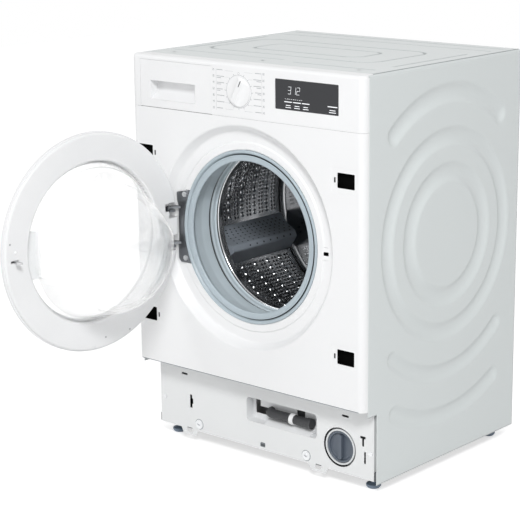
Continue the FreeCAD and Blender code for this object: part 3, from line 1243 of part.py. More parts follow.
def drum_pulley():
    """Spoked wheel with a hub on the shaft end."""
    y1 = PULLEY_Y + PULLEY_W
    rim = ring_y(0, AXIS_Z, PULLEY_R - PULLEY_RIM, PULLEY_R, PULLEY_Y, y1)
    hub = disc_y(0, AXIS_Z, SHAFT_R + 12, PULLEY_Y, SHAFT_END_Y - 6)
    spokes = []
    for k in range(PULLEY_SPOKES):
        spoke = box(SHAFT_R + 8, PULLEY_R - PULLEY_RIM + 2, PULLEY_Y + 4, y1 - 4,
                    AXIS_Z - PULLEY_SPOKE_W / 2, AXIS_Z + PULLEY_SPOKE_W / 2)
        spoke.rotate(V(0, 0, AXIS_Z), Y, 360.0 / PULLEY_SPOKES * k)
        spokes.append(spoke)
    return joined(rim, hub, *spokes).cut(disc_y(0, AXIS_Z, SHAFT_R, PULLEY_Y - 1, SHAFT_END_Y))


def belt_loop(r_big, r_small, y):
    """Face inside a belt that wraps the drum pulley and the motor pulley."""
    big, small = complex(0, AXIS_Z), complex(MOTOR_X, MOTOR_Z)
    along = cmath.phase(small - big)
    lean = math.acos((r_big - r_small) / abs(small - big))
    a0, a1 = cmath.rect(1, along + lean), cmath.rect(1, along - lean)
    far, near = cmath.rect(1, along + math.pi), cmath.rect(1, along)
    segments = [(big + r_big * a0, big + r_big * far, big + r_big * a1), (big + r_big * a1, small + r_small * a1),
                (small + r_small * a1, small + r_small * near, small + r_small * a0),
                (small + r_small * a0, big + r_big * a0)]
    return Part.Face(Part.Wire(edges_of(segments, lambda p: V(p.real, y, p.imag))))


def drive_belt():
    y0 = PULLEY_Y + (PULLEY_W - BELT_W) / 2
    outer = belt_loop(PULLEY_R + BELT_GAP + BELT_T, MOTOR_PULLEY_R + BELT_GAP + BELT_T, y0)
    inner = belt_loop(PULLEY_R + BELT_GAP, MOTOR_PULLEY_R + BELT_GAP, y0)
    return outer.cut(inner).extrude(V(0, BELT_W, 0))


def motor():
    """Drive motor hung under the tub: ribbed can, end shields and mounting ears."""
    y1 = PULLEY_Y - 6
    y0 = y1 - MOTOR_LEN
    can = disc_y(MOTOR_X, MOTOR_Z, MOTOR_R, y0 + 12, y1 - 12)
    shields = [disc_y(MOTOR_X, MOTOR_Z, MOTOR_R - 6, y0, y0 + 12), disc_y(MOTOR_X, MOTOR_Z, MOTOR_R - 6, y1 - 12, y1)]
    ear = box(MOTOR_X - MOTOR_LUG_W / 2, MOTOR_X + MOTOR_LUG_W / 2, y0 + 20, y0 + 60, MOTOR_Z + MOTOR_R - 4,
              MOTOR_Z + MOTOR_R + 6)
    fins = [ring_y(MOTOR_X, MOTOR_Z, MOTOR_R - 3, MOTOR_R + 1, y, y + 4).cut(
        box(MOTOR_X - 40, MOTOR_X + 40, y - 1, y + 5, MOTOR_Z, MOTOR_Z + 99)) for y in (y0 + 30, y0 + 50, y0 + 70)]
    bore = disc_y(MOTOR_X, MOTOR_Z, MOTOR_SHAFT_R + RUN_FIT, y0 + 40, y1 + 1)
    return joined(can, ear, *shields, *fins).cut(bore)


def motor_pulley():
    """Rotor shaft with its ribbed pulley."""
    y1 = PULLEY_Y - 6
    shaft = disc_y(MOTOR_X, MOTOR_Z, MOTOR_SHAFT_R, y1 - MOTOR_LEN + 41, PULLEY_Y + PULLEY_W)
    wheel = disc_y(MOTOR_X, MOTOR_Z, MOTOR_PULLEY_R, PULLEY_Y, PULLEY_Y + PULLEY_W)
    collar = disc_y(MOTOR_X, MOTOR_Z, MOTOR_SHAFT_R + 3, y1 + 0.3, PULLEY_Y)
    return joined(shaft, wheel, collar)


# Ballast and suspension


def top_ballast():
    """Concrete block clamped on the crown of the tub."""
    y1 = TUB_SPLIT_Y - 8
    ring = ring_y(0, AXIS_Z, TUB_OUT_R, TUB_OUT_R + BALLAST_T, y1 - BALLAST_LEN, y1)
    return ring.common(wedge(38, 98, TUB_OUT_R + 2 * BALLAST_T, y1 - BALLAST_LEN - 1, y1 + 1))


def front_ballast():
    """Concrete crescent bolted to the lower front wall of the tub."""
    y1 = TUB_FRONT_Y
    ring = ring_y(0, AXIS_Z, TUB_COLLAR_R + TUB_WALL + 4, TUB_OUT_R - 6, y1 - BALLAST_FRONT_T, y1)
    return ring.common(wedge(205, 335, TUB_OUT_R, y1 - BALLAST_FRONT_T - 1, y1 + 1))


def suspension_springs():
    """Two extension springs from the side hangers to the tub lugs, one wire each."""
    y = SPRING_Y
    coil_low = (SPRING_LUG_Z + HANGER_Z) / 2 - SPRING_TURNS * SPRING_PITCH / 2
    coil_high = coil_low + SPRING_TURNS * SPRING_PITCH
    springs = []
    for side in (-1, 1):
        x = side * SPRING_X
        helix = Part.makeHelix(SPRING_PITCH, SPRING_TURNS * SPRING_PITCH, SPRING_COIL_R)
        helix.translate(V(x, y, coil_low))
        wire = Part.Wire(Part.makeCircle(SPRING_WIRE_R, V(x + SPRING_COIL_R, y, coil_low), Y))
        coil = Part.Wire(helix.Edges).makePipeShell([wire], True, False)
        parts = [coil]
        for z0, z1, z_bar in ((SPRING_LUG_Z, coil_low, coil_low), (coil_high, HANGER_Z, coil_high)):
            parts.append(disc_z(x, y, SPRING_WIRE_R, z0, z1))
            parts.append(disc_x(y, z_bar, SPRING_BAR_R, x - SPRING_BAR_R, x + SPRING_COIL_R + SPRING_BAR_R))
        springs.append(joined(*parts))
    return Part.makeCompound(springs)


def dampers():
    """Two friction struts between the base and the tub."""
    y = DAMPER_Y
    struts = []
    for s in (-1, 1):
        low = V(s * DAMPER_FOOT_X, y, DAMPER_FOOT_Z)
        high = V(s * DAMPER_TOP_X, y, DAMPER_TOP_Z)
        lean = (high - low).normalize()
        tube = strut(low + lean * 24, low + lean * 110, DAMPER_TUBE_R)
        rod = strut(low, high, DAMPER_ROD_R)
        eyes = [disc_y(p.x, p.z, DAMPER_EYE_R, y - DAMPER_EYE_W / 2, y + DAMPER_EYE_W / 2) for p in (low, high)]
        struts.append(joined(tube, rod, *eyes))
    return Part.makeCompound(struts)


# Plinth, base and feet


def plinth_tab(x0, x1):
    """Lower tab of the plinth with a square hole, splayed at its sides."""
    low, flare = PLINTH_LOW - TAB_DROP, TAB_FLARE
    face = Part.Face(Part.makePolygon([V(x0 - flare, PLINTH_Y, PLINTH_LOW + 1), V(x1 + flare, PLINTH_Y, PLINTH_LOW + 1),
                                       V(x1, PLINTH_Y, low), V(x0, PLINTH_Y, low),
                                       V(x0 - flare, PLINTH_Y, PLINTH_LOW + 1)]))
    mid, hole_low = (x0 + x1) / 2, low + TAB_DROP / 2
    hole = box(mid - TAB_HOLE_W / 2, mid + TAB_HOLE_W / 2, PLINTH_Y - 1, PLINTH_Y + 2, hole_low, hole_low + TAB_HOLE_H)
    return face.extrude(V(0, SHEET, 0)), hole


def plinth_panel():
    """Set-back panel under the front with its openings and lower tabs."""
    y0, y1 = PLINTH_Y, PLINTH_Y + SHEET
    through = (y0 - 1, y1 + 1)
    panel = box(PLINTH_X0, PLINTH_X1, y0, y1, PLINTH_LOW, FRONT_LOW)
    panel = panel.fuse([box(PLINTH_X0, PLINTH_X0 + SHEET, y0, y0 + PLINTH_RETURN, BASE_H + PANEL_LOW, FRONT_LOW),
                        box(PLINTH_X1 - SHEET, PLINTH_X1, y0, y0 + PLINTH_RETURN, BASE_H + PANEL_LOW, FRONT_LOW)])
    left, right = PLINTH_X0 + FIX_SLOT_LEFT, PLINTH_X1 - FIX_SLOT_RIGHT
    low_l, low_r = FRONT_LOW - FIX_SLOT_DROP_L - FIX_SLOT_H, FRONT_LOW - FIX_SLOT_DROP_R - FIX_SLOT_H
    key, key_z = PLINTH_X0 + KEY_SLOT_LEFT + KEY_SLOT_W, PLINTH_LOW + KEY_SLOT_RISE
    nick_z = key_z + KEY_NICK_RISE
    eye, eye_z = RECESS_X0 + EYE_LEFT, PLINTH_LOW + EYE_RISE
    tee, tee_z = PLINTH_X1 - TEE_RIGHT, PLINTH_LOW + TEE_RISE
    stem, side_z = tee - TEE_STEM_IN, PLINTH_LOW + SIDE_SLOT_RISE
    tabs = ((PLINTH_X0 + TAB_LEFT, PLINTH_X0 + TAB_LEFT + TAB_W), (PLINTH_X1 - TAB_RIGHT - TAB_W, PLINTH_X1 - TAB_RIGHT))
    cuts = [slab(RECESS_X0, RECESS_X1, *through, RECESS_LOW, RECESS_TOP, RECESS_R, Y),
            disc_y(CAP_X, CAP_Z, CAP_HOLE_R, *through),
            slab(left, left + FIX_SLOT_W, *through, low_l, low_l + FIX_SLOT_H, 2, Y),
            slab(right - FIX_SLOT_W, right, *through, low_r, low_r + FIX_SLOT_H, 2, Y),
            box(key - KEY_SLOT_W, key, *through, key_z, key_z + KEY_SLOT_H),
            box(key, key + KEY_NICK_W, *through, nick_z, nick_z + KEY_NICK_H),
            slab(eye, eye + EYE_W, *through, eye_z, eye_z + EYE_H, 1, Y),
            box(tee - TEE_W, tee, *through, tee_z, tee_z + TEE_BAR_H),
            box(stem - TEE_STEM_W, stem, *through, tee_z - TEE_STEM_H, tee_z),
            box(stem, stem + SIDE_SLOT_W, *through, side_z, side_z + SIDE_SLOT_H)]
    for x0, x1 in tabs:
        tab, hole = plinth_tab(x0, x1)
        panel = panel.fuse(tab)
        cuts.append(hole)
    for x, z in plinth_screw_places():
        cuts.append(disc_y(x, z, SCREW_R, *through))
    return panel.cut(cuts).removeSplitter()


def plinth_screw_places():
    return [(PLINTH_X0 + END_SCREW_LEFT, PLINTH_LOW + END_SCREW_RISE_L),
            (PLINTH_X1 - END_SCREW_RIGHT, PLINTH_LOW + END_SCREW_RISE_R),
            (PLINTH_X0 + DISC_LEFT, PLINTH_LOW + DISC_RISE_L), (PLINTH_X1 - DISC_RIGHT, PLINTH_LOW + DISC_RISE_R)]


def plinth_screws():
    """Two plain screws high up and two with broad pressure discs near the base."""
    screws = []
    for k, (x, z) in enumerate(plinth_screw_places()):
        shank = disc_y(x, z, SCREW_R, PLINTH_Y, PLINTH_Y + SHEET + (10 if k < 2 else 0))
        head = disc_y(x, z, SCREW_R + 1.4 if k < 2 else DISC_R, PLINTH_Y - 1.6, PLINTH_Y)
        screws.append(joined(shank, head).cut(box(x - 2.6, x + 2.6, PLINTH_Y - 2, PLINTH_Y - 1, z - 0.5, z + 0.5)))
    return screws


def base_frame():
    """Channel-section ring that carries the panels, the dampers and the feet."""
    x, y1, z0, z1 = IN_X, Y_REAR - SHEET, BASE_LOW, PANEL_LOW + BASE_H
    ring = box(-x, x, BASE_Y, y1, z0, z1)
    ring = ring.cut(box(-x + BASE_RAIL, x - BASE_RAIL, BASE_Y + BASE_RAIL, y1 - BASE_RAIL, z0 - 1, z1 + 1))
    t = BASE_SHEET
    trough = box(-x + t, x - t, BASE_Y + t, y1 - t, z0 + t, z1 + 1)
    trough = trough.cut(box(-x + BASE_RAIL - t, x - BASE_RAIL + t, BASE_Y + BASE_RAIL - t, y1 - BASE_RAIL + t,
                            z0, z1 + 2))
    ring = ring.cut(trough)
    for s in (-1, 1):
        eye_y = DAMPER_Y + DAMPER_EYE_W / 2
        arm_x0, arm_x1 = sorted((s * (DAMPER_FOOT_X - 14), s * (x - BASE_RAIL + t)))
        ring = ring.fuse(box(arm_x0, arm_x1, eye_y, eye_y + 6, z0 + 4, DAMPER_FOOT_Z + 12))
    for fx, fy in foot_places():
        ring = ring.cut(disc_z(fx, fy, FOOT_STUD_R + RUN_FIT, z0 - 1, z0 + t + 1))
    ring = ring.cut(disc_y(CAP_X, CAP_Z, CAP_HOLE_R, BASE_Y - 1, BASE_Y + t + 1))
    return ring.removeSplitter()


def foot_places():
    return [(s * FOOT_X, y) for y in (Y_FRONT + FOOT_FRONT_DEEP, Y_REAR - FOOT_REAR_IN) for s in (-1, 1)]


def foot(x, y):
    """Screw foot: domed pad, hexagon and threaded stud."""
    pad = outline([complex(0, 0), complex(FOOT_PAD_R - 3, 0), complex(FOOT_PAD_R, 4),
                   complex(FOOT_PAD_R, FOOT_PAD_H - 3), complex(FOOT_STUD_R, FOOT_PAD_H), complex(0, FOOT_PAD_H)],
                  [0, 1, 1, 2, 0, 0], lambda p: V(x + p.real, y, p.imag)).revolve(V(x, y, 0), Z, 360)
    return joined(pad, disc_z(x, y, FOOT_STUD_R, FOOT_PAD_H - 1, FOOT_STUD_TOP))


def foot_lock_nuts():
    """Nuts turned up against the base on each stud."""
    nuts = []
    for x, y in foot_places():
        spots = [V(x + FOOT_NUT_R * math.cos(math.pi / 3 * k), y + FOOT_NUT_R * math.sin(math.pi / 3 * k),
                   BASE_LOW - FOOT_NUT_H) for k in range(7)]
        hexagon = Part.Face(Part.makePolygon(spots)).extrude(V(0, 0, FOOT_NUT_H))
        nuts.append(hexagon.cut(disc_z(x, y, FOOT_STUD_R + RUN_FIT, 0, BASE_LOW + 1)))
    return Part.makeCompound(nuts)


# Emergency drain hose and pump


def hose_recess():
    """Moulded pocket behind the plinth window, its back wall open above and beside the hose."""
    y0, y1 = PLINTH_Y + SHEET, PLINTH_Y + RECESS_DEEP
    t = RECESS_WALL
    outer = slab(RECESS_X0 - t, RECESS_X1 + t, y0, y1, RECESS_LOW - t, RECESS_TOP + t, RECESS_R + t, Y)
    inner = slab(RECESS_X0, RECESS_X1, y0 - 1, y1 - t, RECESS_LOW, RECESS_TOP, RECESS_R, Y)
    shell = outer.cut(inner)
    scoop = outline([complex(y0, RECESS_LOW), complex(y1 - t, RECESS_LOW), complex(y1 - t, HOSE_Z - 12),
                     complex(y0 + 9, RECESS_LOW + 6)], [0, 0, 0, 6],
                    lambda p: V(HOSE_X0 - SCOOP_LEFT, p.real, p.imag)).extrude(V(HOSE_X1 - HOSE_X0 + SCOOP_LEFT, 0, 0))
    shell = shell.fuse(scoop)
    back = (y1 - t - 1, y1 + 1)
    slots = [box(RECESS_X0 + 6, RECESS_X0 + 18, *back, HOSE_Z - 12, RECESS_TOP - 6),
             box(RECESS_X0 + 6, HOSE_X0 + 6, *back, HOSE_Z - 12, HOSE_Z + 4),
             box(CLIP_X + 4, CLIP_X + 25, *back, HOSE_Z + 4, RECESS_TOP - 4)]
    entry = disc_y(HOSE_X0 - 14, HOSE_Z, HOSE_R, y1 - t - 1, y1 + 1)
    return shell.cut(slots + [entry]).removeSplitter()


def hose_y():
    return PLINTH_Y + HOSE_BACK


def drain_hose_bend():
    """Route of the emergency hose: along the recess, then round into the back wall."""
    bend = 11.0
    y = hose_y()
    path = rounded_path([complex(HOSE_X1 - HOSE_PLUG, y), complex(HOSE_X0 - 14, y), complex(HOSE_X0 - 14, y + 40)],
                        [bend])
    return Part.Wire(edges_of(path, lambda p: V(p.real, p.imag, HOSE_Z)))


def emergency_hose():
    """Rubber hose with an open bore, kept in the recess."""
    route = drain_hose_bend()
    start = V(HOSE_X1 - HOSE_PLUG, hose_y(), HOSE_Z)
    skins = [route.makePipeShell([Part.Wire(Part.makeCircle(r, start, X))], True, False)
             for r in (HOSE_R, HOSE_BORE_R)]
    return skins[0].cut(skins[1])


def hose_plug():
    """Stopper pushed into the end of the hose."""
    x = HOSE_X1 - HOSE_PLUG
    cap = disc_x(hose_y(), HOSE_Z, HOSE_R + 1.5, x, HOSE_X1)
    return joined(cap, disc_x(hose_y(), HOSE_Z, HOSE_BORE_R, x - 14, x))


def hose_clip():
    """Snap clip over the hose, standing on the back wall of the recess."""
    y_back = PLINTH_Y + RECESS_DEEP - RECESS_WALL
    ring = disc_x(hose_y(), HOSE_Z, HOSE_R + 2, CLIP_X, CLIP_X + CLIP_W)
    stem = box(CLIP_X, CLIP_X + CLIP_W, hose_y(), y_back, HOSE_Z - 5, HOSE_Z + 3)
    return joined(ring, stem).cut(disc_x(hose_y(), HOSE_Z, HOSE_R, CLIP_X - 1, CLIP_X + CLIP_W + 1))


def pump_housing():
    """Drain pump body: filter well open to the front, motor behind and two spigots."""
    y0 = PLINTH_Y + CAP_SINK + CAP_T + CAP_SEAT
    y1 = y0 + FILTER_LEN
    well = disc_y(CAP_X, CAP_Z, FILTER_R + 1 + PUMP_WALL, y0, y1)
    flange = disc_y(CAP_X, CAP_Z, CAP_HOLE_R - 1, y0, y0 + 4)
    coil = slab(CAP_X - 24, CAP_X + 24, y1, y1 + 46, CAP_Z - 24, CAP_Z + 24, 8, Y)
    leg = box(CAP_X - 20, CAP_X + 20, y0 + 8, y1, PANEL_LOW + BASE_H, CAP_Z - FILTER_R)
    inlet = Part.makeCylinder(17, 60, V(CAP_X, PLINTH_Y + 48, CAP_Z), V(-1, 0, 0))
    ring_in = CAP_R + CAP_RING_GAP
    ring = ring_y(CAP_X, CAP_Z, ring_in, ring_in + CAP_RING_T, PLINTH_Y + CAP_RING_SINK, y0 + 1)
    body = joined(well, flange, coil, leg, inlet, ring)
    cavity = disc_y(CAP_X, CAP_Z, FILTER_R + 1, y0 - 1, y1 - 4)
    return body.cut([cavity, Part.makeCylinder(13, 70, V(CAP_X, PLINTH_Y + 48, CAP_Z), V(-1, 0, 0))])


def pump_filter():
    """Strainer on the back of the turning cap: a cage of ribs with an end ring."""
    y0 = PLINTH_Y + CAP_SINK + CAP_T
    y1 = y0 + FILTER_LEN - 12
    cage = ring_y(CAP_X, CAP_Z, FILTER_R - FILTER_WALL, FILTER_R, y0, y1)
    for k in range(3):
        gap = box(CAP_X - 60, CAP_X + 60, y0 + 18, y1 - 8, CAP_Z - 5, CAP_Z + 5)
        gap.rotate(V(CAP_X, 0, CAP_Z), Y, 60 * k)
        cage = cage.cut(gap)
    return cage


def filter_cap():
    """Turning cap: raised rim, dished face, a straight grip across it and a plug for the strainer."""
    y0 = PLINTH_Y + CAP_SINK
    plug_r = FILTER_R - FILTER_WALL
    profile = outline([complex(0, 5), complex(CAP_R - 6, 5), complex(CAP_R - 4, 0), complex(CAP_R, 0),
                       complex(CAP_R, CAP_T), complex(plug_r, CAP_T), complex(plug_r, CAP_T + 10),
                       complex(0, CAP_T + 10)], [0, 2, 1, 1, 0, 0, 0, 0],
                      lambda p: V(CAP_X + p.real, y0 + p.imag, CAP_Z))
    cap = profile.revolve(V(CAP_X, 0, CAP_Z), Y, 360)
    grip = slab(CAP_X - CAP_GRIP_W / 2, CAP_X + CAP_GRIP_W / 2, y0 - 3, y0 + 6, CAP_Z - CAP_R + 7,
                CAP_Z + CAP_R - 7, 3, Y)
    return joined(cap, grip)


def sump_hose():
    """Bellows from the bottom of the tub down to the pump."""
    y = PLINTH_Y + 48
    start = V(70, y, AXIS_Z - TUB_R - 8)
    corner = V(70, y, CAP_Z)
    end = V(CAP_X - 60, y, CAP_Z)
    path = rounded_path([complex(start.x, start.z + 30), complex(corner.x, corner.z), complex(end.x, end.z)], [40])
    route = Part.Wire(edges_of(path, lambda p: V(p.real, y, p.imag)))
    ring = Part.Wire(Part.makeCircle(17, V(start.x, y, start.z + 30), Z))
    hose = route.makePipeShell([ring], True, False)
    return hose.cut(disc_y(0, AXIS_Z, TUB_OUT_R, Y_FRONT, Y_REAR))


def heater():
    """Tubular element lying between drum and tub, its flange in the front wall."""
    y0, y1 = TUB_FRONT_Y + TUB_WALL, TUB_SPLIT_Y + HEATER_LEN
    z = AXIS_Z - (TUB_R + DRUM_R) / 2
    w = HEATER_HALF
    path = rounded_path([complex(-w, y0), complex(-w, y1), complex(w, y1), complex(w, y0)], [HEATER_BEND] * 2)
    route = Part.Wire(edges_of(path, lambda p: V(p.real, p.imag, z)))
    return route.makePipeShell([Part.Wire(Part.makeCircle(HEATER_TUBE_R, V(-w, y0, z), Y))], True, False)


# Rear


def rear_panel():
    """Rear sheet with a large service opening and holes for the connections."""
    sheet = box(-IN_X, IN_X, Y_REAR - SHEET, Y_REAR, PANEL_LOW, TOP_UNDER - SHEET)
    through = (Y_REAR - 2, Y_REAR + 1)
    cuts = [disc_y(0, AXIS_Z, COVER_R - COVER_LAP, *through), disc_y(INLET_X, INLET_Z, INLET_R + 3, *through),
            disc_y(OUTLET_X, OUTLET_Z, OUTLET_R + 1, *through), disc_y(GLAND_X, GLAND_Z, GLAND_R, *through)]
    cuts += [disc_y(x, z, TRANSIT_R - 3, *through) for x, z in transit_places()]
    return sheet.cut(cuts)


def transit_places():
    return [(s * TRANSIT_X, z) for z in (AXIS_Z - TRANSIT_BELOW, AXIS_Z + TRANSIT_ABOVE) for s in (-1, 1)]


def rear_cover():
    """Pressed cover over the belt, lapping the rear sheet."""
    half = SHEET / 2
    section = ribbon([complex(COVER_R, Y_REAR + half), complex(COVER_R - COVER_LAP, Y_REAR + half),
                      complex(COVER_R - COVER_LAP - 12, Y_REAR + COVER_BULGE - half),
                      complex(60, Y_REAR + COVER_BULGE - half), complex(48, Y_REAR + COVER_BULGE - 6),
                      complex(0.0, Y_REAR + COVER_BULGE - 6)], [5, 5, 5, 5], SHEET, tub_section)
    return turned(section.common(box(0, CAB_W, -CAB_D, CAB_D, AXIS_Z - 1, AXIS_Z + 1)))


def transit_caps():
    """Plastic caps over the holes of the transport bolts."""
    caps = []
    for x, z in transit_places():
        plug = disc_y(x, z, TRANSIT_R - 3, Y_REAR - 10, Y_REAR)
        caps.append(joined(plug, disc_y(x, z, TRANSIT_R, Y_REAR, Y_REAR + 2.5)))
    return caps


def inlet_valve():
    """Water valve behind the rear sheet with its threaded spigot outside."""
    spigot = ring_y(INLET_X, INLET_Z, INLET_R - 4, INLET_R, Y_REAR - 24, Y_REAR + INLET_OUT)
    shoulder = ring_y(INLET_X, INLET_Z, INLET_R - 4, INLET_R + 3, Y_REAR - 12, Y_REAR)
    collar = ring_y(INLET_X, INLET_Z, INLET_R + 3, INLET_R + 7, Y_REAR - 4, Y_REAR - SHEET)
    bridge = ring_y(INLET_X, INLET_Z, INLET_R - 4, INLET_R + 7, Y_REAR - 8, Y_REAR - 4)
    coil = slab(INLET_X - 20, INLET_X + 20, Y_REAR - 74, Y_REAR - 24, INLET_Z - 17, INLET_Z + 17, 5, Y)
    return joined(spigot, shoulder, collar, bridge, coil)


def drain_outlet():
    """Spigot for the waste hose in the rear sheet."""
    pipe = disc_y(OUTLET_X, OUTLET_Z, OUTLET_R, Y_REAR - 30, Y_REAR + OUTLET_OUT)
    collar = disc_y(OUTLET_X, OUTLET_Z, OUTLET_R + 5, Y_REAR - 4, Y_REAR - SHEET)
    neck = disc_y(OUTLET_X, OUTLET_Z, OUTLET_R + 1, Y_REAR - SHEET, Y_REAR)
    barbs = [Part.makeCone(OUTLET_R + 1.5, OUTLET_R, 4, V(OUTLET_X, Y_REAR + y, OUTLET_Z), Y) for y in (6, 13, 20)]
    return joined(pipe, collar, neck, *barbs).cut(
        disc_y(OUTLET_X, OUTLET_Z, OUTLET_R - 2.5, Y_REAR - 31, Y_REAR + OUTLET_OUT + 1))


def mains_gland():
    """Strain relief where the mains lead enters."""
    bush = disc_y(GLAND_X, GLAND_Z, GLAND_R, Y_REAR - 12, Y_REAR)
    nose = Part.makeCone(GLAND_R + 3, GLAND_R - 2, 10, V(GLAND_X, Y_REAR, GLAND_Z), Y)
    return joined(bush, nose).cut(disc_y(GLAND_X, GLAND_Z, 4, Y_REAR - 13, Y_REAR + 11))


# Export, one file per piece

RIGHT = side_panel()
NODES = {
    "right_side_panel": RIGHT, "left_side_panel": mirrored(RIGHT),
    "top_panel": top_panel(),
    "panel_screws": Part.makeCompound(top_screws() + plinth_screws() + hinge_screws()),
    "fascia": fascia(), "display_window": display_window(), "control_module": control_module(),
    "programme_knob": programme_knob(),
    "drawer_front": drawer_front(), "drawer_tray": drawer_tray(), "drawer_siphon": drawer_siphon(),
    "dispenser_housing": dispenser_housing(),
    "front_panel": front_panel(), "front_crossbar": front_crossbar(),
    "hinge_bracket": hinge_bracket(), "hinge_pin": hinge_pin(),
    "door_lock": door_lock(),
    "door_outer_ring": door_outer_ring(), "door_inner_ring": door_inner_ring(), "door_glass": door_glass(),
    "door_handle": door_handle(), "door_hinge_arms": door_hinge_arms(), "door_hook": door_hook(),
    "gasket": gasket(), "tub_front": tub_front(), "tub_rear": tub_rear(),
    "drum_bearings": Part.makeCompound([bearing(TUB_BACK_Y + SEAL_W), shaft_seal(),
                                        bearing(TUB_BACK_Y + HUB_LEN - BEARING_W)]),
    "drum": drum(), "drum_lifters": drum_lifters(), "drum_spider": drum_spider(), "drum_shaft": drum_shaft(),
    "drum_pulley": drum_pulley(), "pulley_bolt": pulley_bolt(), "drive_belt": drive_belt(),
    "motor": motor(), "motor_pulley": motor_pulley(),
    "ballast_blocks": Part.makeCompound([top_ballast(), front_ballast()]),
    "suspension_springs": suspension_springs(), "dampers": dampers(),
    "plinth_panel": plinth_panel(), "base_frame": base_frame(),
    "foot_lock_nuts": foot_lock_nuts(),
    "hose_recess": hose_recess(), "emergency_hose": emergency_hose(), "hose_plug": hose_plug(),
    "hose_clip": hose_clip(), "pump_housing": pump_housing(), "pump_filter": pump_filter(),
    "filter_cap": filter_cap(), "tub_hoses": Part.makeCompound([fill_hose(), sump_hose()]), "heater": heater(),
    "rear_panel": rear_panel(), "rear_cover": rear_cover(), "rear_plugs": Part.makeCompound(transit_caps() + [mains_gland()]),
    "inlet_valve": inlet_valve(), "drain_outlet": drain_outlet(),
}
for corner, (foot_x, foot_y) in zip(("front_left", "front_right", "rear_left", "rear_right"), foot_places()):
    NODES["foot_" + corner] = foot(foot_x, foot_y)

os.makedirs("parts", exist_ok=True)
for name, shape in NODES.items():
    print(name, len(shape.Solids), shape.isValid(), round(shape.Volume))
    shape.exportStep("parts/" + name + ".step")
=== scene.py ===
import math

import bmesh
import bpy
import numpy as np
from mathutils import Matrix, Vector
from mathutils.bvhtree import BVHTree


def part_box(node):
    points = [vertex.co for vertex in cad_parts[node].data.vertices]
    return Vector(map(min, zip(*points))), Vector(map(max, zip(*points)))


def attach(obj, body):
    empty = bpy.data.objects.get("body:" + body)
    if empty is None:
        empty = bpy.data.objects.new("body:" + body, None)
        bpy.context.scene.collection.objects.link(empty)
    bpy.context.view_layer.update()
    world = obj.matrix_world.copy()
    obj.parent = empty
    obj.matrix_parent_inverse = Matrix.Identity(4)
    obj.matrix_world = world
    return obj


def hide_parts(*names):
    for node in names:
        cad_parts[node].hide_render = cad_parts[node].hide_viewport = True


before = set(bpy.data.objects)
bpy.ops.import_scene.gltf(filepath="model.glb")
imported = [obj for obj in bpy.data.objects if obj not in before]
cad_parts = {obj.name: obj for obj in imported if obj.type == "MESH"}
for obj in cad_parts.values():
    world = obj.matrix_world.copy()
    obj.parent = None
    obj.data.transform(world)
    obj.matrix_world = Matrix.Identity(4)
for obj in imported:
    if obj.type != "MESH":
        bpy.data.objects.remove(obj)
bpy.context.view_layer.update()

# Base frame: a channel ring folded from zinc-coated sheet and welded at its corners, the front left one cut off
# aslant. It carries the side panels, the dampers and the feet.
JOIN_WITHIN = 0.00001
FLAT_WITHIN = math.radians(0.5)
SHARP_FROM = math.radians(30.0)
CORNER_CUT = Vector((-0.2820, -0.2118, 0.0))
CORNER_CUT_OUT = Vector((-0.75, -0.66, 0.0))


def arithmetic(operation, reflected=False):
    """A method that adds one Math node, its two values turned round in the reflected form."""
    def method(sock, other):
        values = (other, sock) if reflected else (sock, other)
        return Sock.node(sock.tree, "ShaderNodeMath", {"operation": operation}, dict(enumerate(values)))
    return method


class Sock:
    """An output socket of a node tree. Arithmetic on it adds Math nodes to the same tree."""

    def __init__(self, tree, socket):
        self.tree = tree
        self.socket = socket

    @classmethod
    def node(cls, tree, kind, settings=None, inputs=None, out=0):
        """Any node: its settings first, then the values or links of its sockets."""
        made = tree.nodes.new(kind)
        for name, value in (settings or {}).items():
            setattr(made, name, value)
        for name, value in (inputs or {}).items():
            if isinstance(value, Sock):
                tree.links.new(value.socket, made.inputs[name])
            else:
                made.inputs[name].default_value = value
        return cls(tree, made.outputs[out])

    def math(self, operation, *others):
        values = dict(enumerate((self, *others)))
        return Sock.node(self.tree, "ShaderNodeMath", {"operation": operation}, values)

    def held(self, low, high):
        return self.math("MAXIMUM", low).math("MINIMUM", high)

    def rise(self, start, width, low=0.0):
        """A straight rise to 1 over a width from a start."""
        return ((self - start) / width).held(low, 1.0)

    def axes(self):
        """The x, y and z of a vector."""
        split = Sock.node(self.tree, "ShaderNodeSeparateXYZ", None, {0: self})
        return [Sock(self.tree, out) for out in split.socket.node.outputs]

    __add__, __radd__ = arithmetic("ADD"), arithmetic("ADD", True)
    __sub__, __rsub__ = arithmetic("SUBTRACT"), arithmetic("SUBTRACT", True)
    __mul__, __rmul__ = arithmetic("MULTIPLY"), arithmetic("MULTIPLY", True)
    __truediv__, __rtruediv__ = arithmetic("DIVIDE"), arithmetic("DIVIDE", True)


